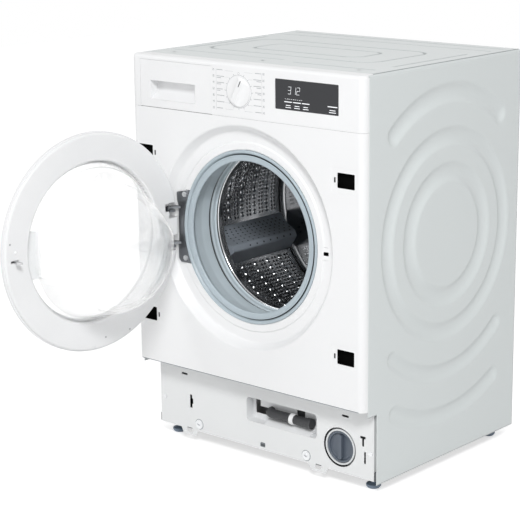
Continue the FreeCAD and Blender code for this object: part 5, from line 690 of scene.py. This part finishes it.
gasket = turned("gasket_bellows", rounded(BELLOWS, BELLOWS_BENDS, 5), rubber.material, FRONT_Y, segments=128)
place_piece(thicken(gasket, GASKET_THICK, -1.0), "cabinet", "gasket_rubber", "gasket")

# Front panel: white enamelled sheet with the round dish for the door and the openings for the hinges of a
# furniture door.
front_enamel = enamel("white_enamel", (0.850, 0.855, 0.862), 0.32)
soften("front_panel", front_enamel, 0.0)

# Door hinge on the cabinet: a dark cast bracket with two lugs and its pin, on a plate in the dish. The sheet of
# the dish ends in a wavy edge along the plate.
LUG_LEVELS = {0.433: 0.4380, 0.515: 0.5115}
LUG_SLIM, LUG_HALF = 0.32, 0.0075
PIN_SLIM = 0.4
DISH_SHEET = 0.0008
DISH_PATH = rounded([(0.170, 0.0174), (0.188, 0.0174), (0.191, 0.0204), (0.212, 0.0204), (0.224, 0.0004)],
                    [0.002, 0.002, 0.007])
HINGE_EDGE = [(0.398, -0.1890), (0.405, -0.1945), (0.433, -0.1945), (0.447, -0.1925), (0.514, -0.1925),
              (0.525, -0.1965), (0.541, -0.1975), (0.5445, -0.1880), (0.5455, -0.1680), (0.550, -0.1680)]
OPENING_R, OPENING_X = 0.2193, 0.2184
EDGE_ROWS, EDGE_COLUMNS = 61, 13
PLATE_INNER_R, PLATE_DEPTH, PLATE_THICK, PLATE_SHIFT = 0.1740, 0.0186, 0.004, 0.0042


def slimmed(height, levels, slim):
    """A height, drawn in towards the nearest of the levels, which moves to its new place."""
    level = min(levels, key=lambda z: abs(z - height))
    return levels[level] + (height - level) * slim


def slim_lugs(shape):
    for vert in shape.verts:
        if min(abs(vert.co.z - level) for level in LUG_LEVELS) < LUG_HALF:
            vert.co.z = slimmed(vert.co.z, LUG_LEVELS, LUG_SLIM)


def slim_pin(shape):
    axis = sum((vert.co for vert in shape.verts), Vector()) / len(shape.verts)
    for vert in shape.verts:
        vert.co.xy = axis.xy + (vert.co.xy - axis.xy) * PIN_SLIM


def ruled(name, rows, material, thickness):
    """A sheet through rows of points, all rows of one length, thickened to both sides."""
    width = len(rows[0])
    faces = [(k, k + width, k + width + 1, k + 1) for first in range(0, (len(rows) - 1) * width, width)
             for k in range(first, first + width - 1)]
    return thicken(new_piece(name, [point for row in rows for point in row], faces, material, True), thickness)


def on_dish(x, z):
    """A point in the middle of the dish's sheet."""
    return (x, FRONT_Y + np.interp(math.hypot(x, z - AXIS_HEIGHT), *zip(*DISH_PATH)), z)


hinge_metal = bright_steel("hinge_metal", (0.23, 0.24, 0.255), 0.42)
bracket = reshaped("hinge_bracket", "hinge_casting", slim_lugs)
place_piece(soften(bracket, hinge_metal, 0.0008), "cabinet", "hinge_metal", "hinge_bracket")
pin = reshaped("hinge_pin", "slim_pin", slim_pin)
place_piece(soften(pin, drive_steel, 0.0002), "cabinet", "pin_steel", "hinge_pin")
edge_rows, plate_rows = [], []
for z in np.linspace(HINGE_EDGE[0][0], HINGE_EDGE[-1][0], EDGE_ROWS):
    inner, high = np.interp(z, *zip(*HINGE_EDGE)), z - AXIS_HEIGHT
    outer = -min(OPENING_X, math.sqrt(OPENING_R ** 2 - high ** 2))
    edge_rows.append([on_dish(x, z) for x in np.linspace(inner, outer, EDGE_COLUMNS)])
    right, left = -math.sqrt(PLATE_INNER_R ** 2 - high ** 2), inner + PLATE_SHIFT
    if left < right:
        plate_rows.append([(x, FRONT_Y + PLATE_DEPTH, z) for x in np.linspace(right, left, EDGE_COLUMNS)])
place_piece(ruled("dish_edge", edge_rows, front_enamel, DISH_SHEET), "cabinet", "front_enamel")
place_piece(ruled("hinge_plate", plate_rows, hinge_metal, PLATE_THICK), "cabinet", "hinge_metal")

# Door lock: a dark moulded interlock behind the slot in the dish, whose enamelled plate leaves a small mouth for
# the hook.
LOCK_PLATE = 0.0006
SLOT_SIDES, SLOT_ENDS = (0.1846, 0.2014), (0.4582, 0.4818)
MOUTH_SIDES, MOUTH_ENDS = (0.1888, 0.1995), (0.4662, 0.4735)
soften("door_lock", moulded("lock_plastic", (0.022, 0.022, 0.025), 0.5))
mouth_rows = [[on_dish(SLOT_SIDES[side], SLOT_ENDS[end]), on_dish(MOUTH_SIDES[side], MOUTH_ENDS[end])]
              for side, end in ((0, 0), (1, 0), (1, 1), (0, 1), (0, 0))]
place_piece(ruled("lock_plate", mouth_rows, front_enamel, LOCK_PLATE), "cabinet", "front_enamel")

# Lower edge of the front panel: the sheet is turned under, and a thin grey line along the whole width is
# painted shade under the fold.
PRINT_LIFT = 0.00006
EDGE_HALF_WIDTH, EDGE_LINE, EDGE_UP = 0.288, 0.0014, 0.0008


def strokes(name, lines, y, body, slot, material):
    """Flat strokes in a plane that faces the front, each from (x0, z0) to (x1, z1) with a width."""
    points = []
    for x0, z0, x1, z1, width in lines:
        along = Vector((x1 - x0, z1 - z0)).normalized() * (width / 2)
        points += [(x0 + along.y, y, z0 - along.x), (x1 + along.y, y, z1 - along.x),
                   (x1 - along.y, y, z1 + along.x), (x0 - along.y, y, z0 + along.x)]
    faces = [tuple(range(first, first + 4)) for first in range(0, len(points), 4)]
    return place_piece(new_piece(name, points, faces, material), body, slot)


gap_shade_grey = moulded("gap_shade_grey", (0.20, 0.225, 0.25), 0.5, 0.0)
edge_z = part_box("front_panel")[0].z + EDGE_UP
strokes("front_lower_edge", [(-EDGE_HALF_WIDTH, edge_z, EDGE_HALF_WIDTH, edge_z, EDGE_LINE)],
        FRONT_Y - PRINT_LIFT, "cabinet", "front_enamel", gap_shade_grey)

# Behind the four openings for a furniture door: near-black sheets of painted shade, close to the front sheet
# and so matt that nothing shows in them.
OPENING_PLATES = ((0.2185, 0.2910), (-0.2955, -0.2260))
OPENING_LEVELS = (0.2804, 0.6204)
OPENING_TALL, OPENING_BEHIND = 0.045, 0.010
shade_black = Finish("shade_black", (0.004, 0.004, 0.004), 0.9, Specular_IOR_Level=0.0)
shade_black.paint("Roughness", 0.85 + 0.1 * shade_black.noise(60.0))
plates = [(x0, z, x1, z, OPENING_TALL) for x0, x1 in OPENING_PLATES for z in OPENING_LEVELS]
strokes("opening_plates", plates, FRONT_Y + OPENING_BEHIND, "cabinet", "black_plastic", shade_black.material)

# Door: two white rings screwed together over the rim of a pressed glass bowl, whose upper part slants back, with
# a pale moulded grip, the hook of the catch and two hinge arms.
HINGE_AXIS = Vector((-0.200, -0.2575, 0.0))
DOOR_OPEN = Matrix.Rotation(math.radians(-95.0), 4, "Z")
GLASS_THICK, GLASS_STEP = 0.005, 0.005
BOWL = [(0.1575, -0.005), (0.1575, 0.003), (0.149, 0.008), (0.119, 0.1105), (0.0005, 0.1145)]
BOWL_BENDS = [0.004, 0.004, 0.022]
SLANT, SLANT_FROM, SLANT_ROOT = 0.86, 0.012, 0.012
ARM_LEVELS = {0.4474: 0.4330, 0.5006: 0.5065}
ARM_SLIM, ARM_END = 0.36, 0.009


def slim_arms(shape):
    for vert in shape.verts:
        vert.co.z = slimmed(vert.co.z, ARM_LEVELS, ARM_SLIM)
        vert.co.y = max(vert.co.y, HINGE_AXIS.y - ARM_END)


door_white = moulded("door_white", (0.845, 0.850, 0.857), 0.3)
soften("door_outer_ring", door_white, 0.0)
soften("door_inner_ring", door_white, 0.0)
glass = Finish("clear_glass", (0.995, 1.0, 1.0), 0.01, Transmission_Weight=1.0, IOR=1.35, Alpha=0.45)
glass.paint("Roughness", 0.01 * (0.5 + glass.noise(6.0)))
corners = rounded(BOWL, BOWL_BENDS)
wall = corners[:1]
for corner in corners[1:]:
    steps = max(1, round((corner - wall[-1]).length / GLASS_STEP))
    wall += [wall[-1].lerp(corner, (k + 1) / steps) for k in range(steps)]
bowl = turned("glass_bowl", wall, glass.material, FRONT_Y, segments=128)
for vert in bowl.data.vertices:
    high, deep = vert.co.z - AXIS_HEIGHT - SLANT_FROM, vert.co.y - FRONT_Y - SLANT_ROOT
    if high > 0 and deep > 0:
        vert.co.y = FRONT_Y + SLANT_ROOT + deep * (1 - SLANT * high / (BOWL[2][0] - SLANT_FROM))
    vert.co = DOOR_OPEN @ (vert.co - HINGE_AXIS) + HINGE_AXIS
place_piece(thicken(bowl, GLASS_THICK), "door", "glass", "door_glass")
soften("door_handle", moulded("grip_plastic", (0.87, 0.88, 0.885), 0.3), 0.0008)
arms = reshaped("door_hinge_arms", "slim_arms", slim_arms)
place_piece(soften(arms, hinge_metal), "door", "hinge_metal", "door_hinge_arms")
soften("door_hook", bright_steel("hook_steel", (0.55, 0.55, 0.56), 0.3), 0.0004)

# Small marks on the door's inner ring: a white buffer that meets the front panel and three plugged screw holes,
# given as places on the closed door from the middle of the ring.
DOOR_FACE = 0.012
BUFFER_PLACES = ((0.1897, 0.012),)
PLUG_PLACES = ((0.2025, 0.0296), (-0.0794, -0.1911), (-0.0177, -0.1949))


def on_door(x, z):
    """A point on the inner ring, given on the closed door, and the way that it faces at rest."""
    closed = Vector((x, FRONT_Y + DOOR_FACE, AXIS_HEIGHT + z)) - HINGE_AXIS
    return DOOR_OPEN @ closed + HINGE_AXIS, DOOR_OPEN @ Vector((0, 1, 0))


plug_grey = moulded("plug_grey", (0.35, 0.36, 0.37), 0.5, 0.0)
buffer_shape = lathe("door_buffer", [(0.0034, -0.0003), (0.0034, 0.0012), (0.0024, 0.0022)], 12)
plug_shape = lathe("door_plug", [(0.0019, -0.0002), (0.0018, 0.0002)])
for name, shape, spots, material in (("door_buffers", buffer_shape, BUFFER_PLACES, door_white),
                                     ("door_plugs", plug_shape, PLUG_PLACES, plug_grey)):
    place_piece(set_on(name, shape, [on_door(x, z) for x, z in spots], material), "door", "white_plastic")

# Detergent drawer: a three-part tray with a blue siphon, sliding in its housing behind a white front with a
# hollow for the fingers.
pale_plastic = moulded("pale_plastic", (0.74, 0.76, 0.77), 0.4)
soften("dispenser_housing", pale_plastic, 0.0)
soften("drawer_tray", pale_plastic)
soften("drawer_siphon", moulded("siphon_plastic", (0.05, 0.16, 0.48), 0.35))
white_plastic = moulded("white_plastic", (0.846, 0.851, 0.858), 0.33)
soften("drawer_front", white_plastic, 0.0008)

# Fascia: a white moulding across the front with the low programme knob, the display window and, behind it, the
# control module.
DIAL_X, DIAL_Z = -0.0055, 0.764
KNOB_LOW, KNOB_SMALL = 0.42, 0.93


def lower_knob(shape):
    for vert in shape.verts:
        if vert.co.y < FRONT_Y:
            vert.co.x = DIAL_X + (vert.co.x - DIAL_X) * KNOB_SMALL
            vert.co.y = FRONT_Y + (vert.co.y - FRONT_Y) * KNOB_LOW
            vert.co.z = DIAL_Z + (vert.co.z - DIAL_Z) * KNOB_SMALL


soften("fascia", white_plastic, 0.0008)
soften("control_module", moulded("module_plastic", (0.16, 0.16, 0.17), 0.5))
knob = reshaped("programme_knob", "dial_knob", lower_knob)
place_piece(soften(knob, white_plastic, 0.0008, 3), "knob", "white_plastic", "programme_knob")
soften("display_window", moulded("display_glass", (0.016, 0.017, 0.021), 0.1, 0.0, 0.1))

# Prints on the fascia: tick marks in a ring round the knob, thin leader lines and plain bars and numbers in pale
# grey ink, and a dark line inlaid in the knob.
DIAL_TICKS, TICK_FROM, TICK_TO, TICK_WIDTH = 16, 0.0325, 0.0355, 0.0009
DIAL_SIDES, RING_RADIUS, RING_WIDTH = 48, 0.0318, 0.0006
OFF_SIDES, OFF_RADIUS, OFF_WIDTH, OFF_UP = 12, 0.0022, 0.0005, 0.0348
RULE_OUT, RULE_LOW, RULE_HIGH, RULE_WIDTH = 0.0587, 0.7235, 0.8040, 0.00035
ROW_TOP, ROW_PITCH = 0.8018, 0.0124
WORD_GAP, WORD_UP, WORD_WIDTH, WORD_LONG, WORD_SHORT = 0.0015, 0.0008, 0.0011, 0.0195, 0.0155
SECOND_ROWS, SECOND_DOWN, SECOND_SHARE = (1, 2, 3), 0.0022, 0.6
LEADER_OUT, LEADER_IN, LEADER_STEP, LEADER_WIDTH = 0.022, 0.0380, 22.5, 0.0003
NUMBER_HIGH, NUMBER_STROKE, NUMBER_DOWN = 0.0036, 0.0005, 0.0012
NUMBER_LEFT, NUMBER_RIGHT = -0.0092, 0.0022
TEMPERATURES = {-1: ("20", "30", "40", "60", "90", "40", "30"), 1: ("90", "60", "40", "30", "20", "30", "40")}
KNOB_TILT = math.radians(27.0)
INLAY_FROM, INLAY_TO, INLAY_WIDTH = 0.0115, 0.0245, 0.0021
DIGIT_WIDE, DIGIT_PITCH = 0.5, 0.72
SEGMENTS = {"top": (0, 2, 1, 2), "middle": (0, 1, 1, 1), "bottom": (0, 0, 1, 0), "upper left": (0, 1, 0, 2),
            "upper right": (1, 1, 1, 2), "lower left": (0, 0, 0, 1), "lower right": (1, 0, 1, 1)}
DIGITS = {"0": "top bottom upper left upper right lower left lower right", "1": "upper right lower right",
          "2": "top middle bottom upper right lower left", "3": "top middle bottom upper right lower right",
          "4": "middle upper left upper right lower right",
          "6": "top middle bottom upper left lower left lower right",
          "9": "top middle bottom upper left upper right lower right"}


def number(text, x, z, height, stroke, slope=0.0):
    """Strokes of a plain number in seven-part digits, its lower left corner at (x, z)."""
    lines = []
    for place, digit in enumerate(text):
        left = x + place * height * DIGIT_PITCH
        for part, (x0, z0, x1, z1) in SEGMENTS.items():
            if part in DIGITS[digit]:
                ends = [(left + height * (DIGIT_WIDE * u + slope * v), z + height * v / 2)
                        for u, v in ((x0, z0), (x1, z1))]
                lines.append((*ends[0], *ends[1], stroke))
    return lines


def on_dial(radius, angle, up=0.0):
    """A point of the fascia at a radius from the knob's middle, or above it, by an angle from the top."""
    return DIAL_X + radius * math.sin(angle), DIAL_Z + up + radius * math.cos(angle)


def circle(radius, sides, width, up=0.0):
    corners = [on_dial(radius, 2 * math.pi * k / sides, up) for k in range(sides + 1)]
    return [(*start, *end, width) for start, end in zip(corners, corners[1:])]


marks = []
for tick in range(1, DIAL_TICKS):
    angle = 2 * math.pi * tick / DIAL_TICKS
    marks.append((*on_dial(TICK_FROM, angle), *on_dial(TICK_TO, angle), TICK_WIDTH))
marks += circle(RING_RADIUS, DIAL_SIDES, RING_WIDTH) + circle(OFF_RADIUS, OFF_SIDES, OFF_WIDTH, OFF_UP)
for side, temperatures in TEMPERATURES.items():
    rule = DIAL_X + side * RULE_OUT
    marks.append((rule, RULE_LOW, rule, RULE_HIGH, RULE_WIDTH))
    word = rule - side * WORD_GAP
    for row, temperature in enumerate(temperatures):
        z = ROW_TOP - row * ROW_PITCH
        long = side * (WORD_LONG if row % 3 else WORD_SHORT)
        marks.append((word, z + WORD_UP, word - long, z + WORD_UP, WORD_WIDTH))
        if row in SECOND_ROWS:
            marks.append((word, z - SECOND_DOWN, word - long * SECOND_SHARE, z - SECOND_DOWN, WORD_WIDTH))
        leader_end = DIAL_X + side * LEADER_IN * math.sin(math.radians(LEADER_STEP * (row + 1)))
        marks.append((word - side * LEADER_OUT, z, leader_end, z, LEADER_WIDTH))
        number_x = rule + (NUMBER_LEFT if side < 0 else NUMBER_RIGHT)
        marks += number(temperature, number_x, z - NUMBER_DOWN, NUMBER_HIGH, NUMBER_STROKE)
strokes("dial_print", marks, FRONT_Y - PRINT_LIFT, "cabinet", "white_plastic",
        moulded("pale_ink", (0.36, 0.37, 0.39), 0.6, 0.0))
crest = FRONT_Y + (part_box("programme_knob")[0].y - FRONT_Y) * KNOB_LOW
knob_line = (*on_dial(INLAY_FROM, KNOB_TILT), *on_dial(INLAY_TO, KNOB_TILT), INLAY_WIDTH)
strokes("knob_line", [knob_line], crest - PRINT_LIFT, "knob", "white_plastic",
        moulded("knob_inlay", (0.030, 0.035, 0.045), 0.4, 0.0))

# Lit signs on the display's face: three digits, a row of dashes, and four groups of touch keys, each a bar over
# two shorter ones.
SIGN_Z, SIGN_HIGH, SIGN_STROKE, SIGN_SLOPE = 0.7706, 0.0134, 0.0007, 0.05
SIGNS = (("3", 0.1178), ("12", 0.1296))
KEYS = ((0.1092, 0.1278), (0.1306, 0.1497), (0.1521, 0.1704), (0.2137, 0.2366))
KEY_Z, KEY_BAR = 0.7554, 0.0015
KEY_ROWS, KEY_ROW = ((0.7488, 0.30), (0.7448, 0.36)), 0.0012
DASHES, DASH_X, DASH_Z, DASH_PITCH, DASH_WIDTH = 9, 0.1105, 0.7608, 0.0049, 0.0008
DASH_SHORT, DASH_MORE = 0.0022, 0.0012
lit = Finish("lit_print", (0.85, 0.87, 0.9), 0.4, Emission_Strength=0.35)
lit.paint("Emission Color", lit.tint(lit.noise(300.0), (0.8, 0.83, 0.88), (1.0, 1.0, 1.0)))
shown = []
for text, x in SIGNS:
    shown += number(text, x, SIGN_Z, SIGN_HIGH, SIGN_STROKE, SIGN_SLOPE)
for x0, x1 in KEYS:
    shown.append((x0, KEY_Z, x1, KEY_Z, KEY_BAR))
    middle = (x0 + x1) / 2
    for z, share in KEY_ROWS:
        shown.append((middle - share * (x1 - x0), z, middle + share * (x1 - x0), z, KEY_ROW))
for dash in range(DASHES):
    x = DASH_X + DASH_PITCH * dash
    shown.append((x, DASH_Z, x + DASH_SHORT + DASH_MORE * (dash % 3 == 1), DASH_Z, DASH_WIDTH))
strokes("display_print", shown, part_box("display_window")[0].y - PRINT_LIFT, "cabinet", "display", lit.material)

# Top sheet: steel in the same pale grey enamel, laid between the folds of the side panels. Two closed loops and
# straight grooves along its edges are pressed into it.
TOP_LOW, TOP_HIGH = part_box("top_panel")
TOP_GROOVE, GROOVE_HALF = 0.0022, 0.0036
GROOVE_SHADE = (0.22, 0.25, 0.26)
LOOP_SIZES = ("x", "y", "half x", "half y", "round")
TOP_LOOPS = {"Outer loop": (-0.022, -0.003, 0.216, 0.102, 0.040),
             "Inner loop": (-0.020, -0.004, 0.138, 0.047, 0.024)}
LINE_SIZES = ("x0", "y0", "x1", "y1")
TOP_LINES = {"Rear line": (-0.272, 0.232, 0.272, 0.232), "Second line": (-0.272, 0.186, 0.272, 0.186),
             "Right line": (0.259, -0.117, 0.259, 0.122), "Left line": (-0.265, -0.117, -0.265, 0.122),
             "Front left line": (-0.270, -0.159, 0.023, -0.159), "Front right line": (0.063, -0.176, 0.258, -0.176)}
TOP_COLUMNS, TOP_ROWS = 265, 219


def grooved_sheet(sizes):
    """A grid sunk along closed loops and straight lines; the depth of the groove is kept for the painted shade in
    it.
    """
    tree, size = new_tree("grooved_sheet", sizes)
    grid = flat_grid(tree, size["Length"], size["Depth"], TOP_COLUMNS, TOP_ROWS)
    first, second = Sock.node(tree, "GeometryNodeInputPosition").axes()[:2]
    x, y = first + size["Middle X"], second + size["Middle Y"]
    groove_square = size["Half width"] * size["Half width"]
    deepest = 0
    for loop in TOP_LOOPS:
        at_x, at_y, half_x, half_y, corner = [size[loop + " " + name] for name in LOOP_SIZES]
        out_x = (x - at_x).math("ABSOLUTE") - half_x + corner
        out_y = (y - at_y).math("ABSOLUTE") - half_y + corner
        corner_x, corner_y = out_x.math("MAXIMUM", 0.0), out_y.math("MAXIMUM", 0.0)
        away = (corner_x * corner_x + corner_y * corner_y).math("SQRT")
        away = away + out_x.math("MAXIMUM", out_y).math("MINIMUM", 0.0) - corner
        deepest = (1 - away * away / groove_square).math("MAXIMUM", deepest)
    for line in TOP_LINES:
        x0, y0, x1, y1 = [size[line + " " + name] for name in LINE_SIZES]
        to_x, to_y = x - x.held(x0, x1), y - y.held(y0, y1)
        deepest = (1 - (to_x * to_x + to_y * to_y) / groove_square).math("MAXIMUM", deepest)
    kept = worked(tree, "StoreNamedAttribute", {"data_type": "FLOAT", "domain": "POINT"},
                  Geometry=grid, Name="groove", Value=deepest)
    return close_tree(tree, size, moved(tree, kept, x, y, size["Height"] - size["Sink"] * deepest))


top_sizes = {"Length": TOP_HIGH.x - TOP_LOW.x, "Depth": TOP_HIGH.y - TOP_LOW.y,
             "Middle X": (TOP_LOW.x + TOP_HIGH.x) / 2, "Middle Y": (TOP_LOW.y + TOP_HIGH.y) / 2,
             "Height": TOP_HIGH.z, "Sink": TOP_GROOVE, "Half width": GROOVE_HALF,
             **sizes_of(TOP_LOOPS, LOOP_SIZES), **sizes_of(TOP_LINES, LINE_SIZES)}
top_enamel = Finish("top_enamel", SIDE_ENAMEL, 0.4, Coat_Weight=0.2)
# Where the sheet is sunk, its colour turns to a darker grey: painted shade in the grooves.
groove = Sock.node(top_enamel.tree, "ShaderNodeAttribute", {"attribute_name": "groove"}, None, "Fac")
in_groove = groove * (0.85 + 0.15 * top_enamel.noise(30.0))
top_enamel.paint("Base Color", top_enamel.tint(in_groove, SIDE_ENAMEL, GROOVE_SHADE))
top_enamel.paint("Roughness", 0.37 + 0.06 * top_enamel.noise(14.0))
top_enamel.bump(top_enamel.noise(260.0), 0.00003)
top_sheet = grown("top_sheet", grooved_sheet(top_sizes), top_sizes, top_enamel.material)
place_piece(top_sheet, "cabinet", "white_steel", "top_panel")

# Seams beside the top sheet, filled with strips of grey painted shade, and the zinc-plated screws of the top sheet,
# the front and the hinge plate.
SEAM_INNER, SEAM_OUTER, SEAM_SINK = 0.2890, 0.2930, 0.0007
HINGE_SCREWS_X, HINGE_SCREWS_Y, HINGE_SCREWS_REACH = -0.15, -0.20, 0.1
HINGE_SCREW_SHIFT = Vector((0.0100, -0.0042, 0.0))


def shift_hinge_screws(shape):
    for vert in shape.verts:
        beside_dish = vert.co.x < HINGE_SCREWS_X and vert.co.y < HINGE_SCREWS_Y
        if beside_dish and abs(vert.co.z - AXIS_HEIGHT) < HINGE_SCREWS_REACH:
            vert.co += HINGE_SCREW_SHIFT


seam_shade_grey = moulded("seam_shade_grey", (0.33, 0.365, 0.37), 0.5)
for side, name in ((1, "top_seam_right"), (-1, "top_seam_left")):
    seam_rows = [[(side * x, y, TOP_HIGH.z - SEAM_SINK) for x in (SEAM_INNER, SEAM_OUTER)]
                 for y in (TOP_LOW.y, TOP_HIGH.y)]
    place_piece(ruled(name, seam_rows, seam_shade_grey, SHEET), "cabinet", "white_steel")
screws = reshaped("panel_screws", "sheet_screws", shift_hinge_screws)
screw_zinc = bright_steel("screw_zinc", (0.70, 0.71, 0.72), 0.38)
place_piece(soften(screws, screw_zinc, 0.0002), "cabinet", "screw_steel", "panel_screws")

# Plinth: set-back white panel with the pocket for the emptying hose and the hole of the filter cap, in front of
# the pump.
plinth_enamel = enamel("plinth_enamel", (0.785, 0.797, 0.80), 0.36)
soften("plinth_panel", plinth_enamel, 0.0)
soften("hose_recess", moulded("pocket_plastic", (0.80, 0.81, 0.82), 0.4))
hose_rubber = moulded("hose_rubber", (0.03, 0.031, 0.034), 0.55)
soften("emergency_hose", hose_rubber, 0.0)
soften("hose_plug", hose_rubber)
soften("hose_clip", white_plastic, 0.0005)
cap_plastic = moulded("cap_plastic", (0.09, 0.11, 0.14), 0.42)
soften("filter_cap", cap_plastic, 0.0008)
soften("pump_filter", cap_plastic)
soften("pump_housing", moulded("pump_plastic", (0.70, 0.72, 0.73), 0.4), 0.0008)

# Plinth fixings: two turning discs that hold the panel, each with a slotted screw, and a small clip window between
# them. The dark ring round each disc, the screws' slots and the window's outline are painted shade.
DISC_PLACES = ((-0.1702, 0.0432), (0.1206, 0.0418))
DISC_RADIUS = 0.0113
PLATE_RADIUS, PLATE_TOP_RADIUS = DISC_RADIUS - 0.0012, DISC_RADIUS - 0.002
SLOT_ASIDE, SLOT_UP, SLOT_WIDTH, SLOT_OUT = 0.0032, 0.0012, 0.0011, 0.0029
CLIP_X0, CLIP_X1, CLIP_Z0, CLIP_Z1 = 0.0005, 0.0122, 0.0345, 0.0412
CLIP_SIDE, CLIP_END = 0.0022, 0.0018
plinth_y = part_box("plinth_panel")[0].y
spots = [(Vector((x, plinth_y, z)), Vector((0, -1, 0))) for x, z in DISC_PLACES]
disc_ring = lathe("disc_ring", [(DISC_RADIUS, -0.0002), (DISC_RADIUS, 0.00015)], 24)
disc_plate = lathe("disc_plate", [(PLATE_RADIUS, 0.0), (PLATE_RADIUS, 0.0006), (PLATE_TOP_RADIUS, 0.0010)], 24)
disc_screw = lathe("disc_screw", [(0.0046, 0.0009), (0.0044, 0.0022), (0.0030, 0.0028)], 12)
for shape, name, material in ((disc_ring, "disc_rings", gap_shade_grey), (disc_plate, "disc_plates", plinth_enamel),
                              (disc_screw, "disc_screws", nut_zinc)):
    place_piece(set_on(name, shape, spots, material), "cabinet", "plinth_enamel")
slots = [(x - SLOT_ASIDE, z + SLOT_UP, x + SLOT_ASIDE, z - SLOT_UP, SLOT_WIDTH) for x, z in DISC_PLACES]
strokes("disc_slots", slots, plinth_y - SLOT_OUT, "cabinet", "plinth_enamel", hole_shade)
window = [(CLIP_X0, CLIP_Z0, CLIP_X0, CLIP_Z1, CLIP_SIDE), (CLIP_X0, CLIP_Z1, CLIP_X1, CLIP_Z1, CLIP_END),
          (CLIP_X0, CLIP_Z0, CLIP_X1, CLIP_Z0, CLIP_END)]
strokes("clip_window", window, plinth_y - PRINT_LIFT, "cabinet", "plinth_enamel", gap_shade_grey)

# Studio: a pale floor under the machine, a key lamp from the right, a weaker one from the front left, and a
# white surround that the camera, glass and gloss see at full strength.
FLOOR_HALF, FLOOR_DOWN = 6.0, 0.0005
FLOOR_GREY, FLOOR_GLOW = (0.80, 0.80, 0.80), 0.62
SURROUND_LIGHT = 0.53
UNDER_LOW, UNDER_HIGH = (-0.33, -0.127), (0.23, 0.25)


def seen(tree):
    """1 for rays of the camera, of gloss and of glass, and 0 for light that falls on the object."""
    kinds = [Sock.node(tree, "ShaderNodeLightPath", out=name)
             for name in ("Is Camera Ray", "Is Glossy Ray", "Is Transmission Ray")]
    return kinds[0].math("MAXIMUM", kinds[1]).math("MAXIMUM", kinds[2])


def soft_lamp(name, place, aim, size, watts):
    lamp = bpy.data.lights.new(name, "AREA")
    lamp.shape = "DISK"
    lamp.size = size
    lamp.energy = watts
    holder = bpy.data.objects.new(name, lamp)
    holder.location = place
    holder.rotation_euler = (Vector(aim) - Vector(place)).to_track_quat("-Z", "Y").to_euler()
    bpy.context.scene.collection.objects.link(holder)


floor_paint = Finish("studio_floor", FLOOR_GREY, 0.9, Emission_Strength=FLOOR_GLOW)
floor = new_piece("studio_floor", [(-FLOOR_HALF, -FLOOR_HALF, 0), (FLOOR_HALF, -FLOOR_HALF, 0),
                                   (FLOOR_HALF, FLOOR_HALF, 0), (-FLOOR_HALF, FLOOR_HALF, 0)], [(0, 1, 2, 3)],
                  floor_paint.material)
floor.location.z = -FLOOR_DOWN
beside = 0.0
for along, low, high in zip(floor_paint.where.axes(), UNDER_LOW, UNDER_HIGH):
    outside = along.math("LESS_THAN", low).math("MAXIMUM", along.math("GREATER_THAN", high))
    beside = outside.math("MAXIMUM", beside)
glow = seen(floor_paint.tree) * beside
floor_paint.paint("Emission Color", Sock.node(floor_paint.tree, "ShaderNodeCombineColor", None,
                                              {0: glow, 1: glow, 2: glow}))
world = bpy.data.worlds.new("studio")
bpy.context.scene.world = world
world.use_nodes = True
air = world.node_tree.nodes["Background"]
air.inputs["Color"].default_value = (1.0, 1.0, 1.0, 1.0)
in_view = seen(world.node_tree)
strength = in_view + (1 - in_view) * SURROUND_LIGHT
world.node_tree.links.new(strength.socket, air.inputs["Strength"])
soft_lamp("key_lamp", (2.45, -2.95, 3.1), (0.1, -0.1, 0.45), 1.0, 108.0)
soft_lamp("front_lamp", (-2.2, -3.2, 1.9), (0, 0, 0.4), 1.0, 13.0)

# Camera: a long lens at the place from which the machine was photographed, to the right of its front and a
# little above it, tilted down and very slightly rolled.
CAMERA_PLACE = Vector((2.2087, -2.7179, 1.2375))
CAMERA_AZIMUTH = math.radians(41.34)
CAMERA_ELEVATION = math.radians(13.69)
CAMERA_ROLL = math.radians(-0.60)
LENS_MM, FILM_MM = 120.1, 36.0
turn = Matrix.Rotation(CAMERA_AZIMUTH, 4, "Z")
tilt = Matrix.Rotation(math.pi / 2 - CAMERA_ELEVATION, 4, "X")
roll = Matrix.Rotation(CAMERA_ROLL, 4, "Z")
lens = bpy.data.cameras.new("photo_camera")
lens.sensor_width = FILM_MM
lens.lens = LENS_MM
camera = bpy.data.objects.new("photo_camera", lens)
camera.matrix_world = Matrix.Translation(CAMERA_PLACE) @ turn @ tilt @ roll
bpy.context.scene.collection.objects.link(camera)
bpy.context.scene.camera = camera
bpy.context.scene.view_settings.view_transform = "Standard"
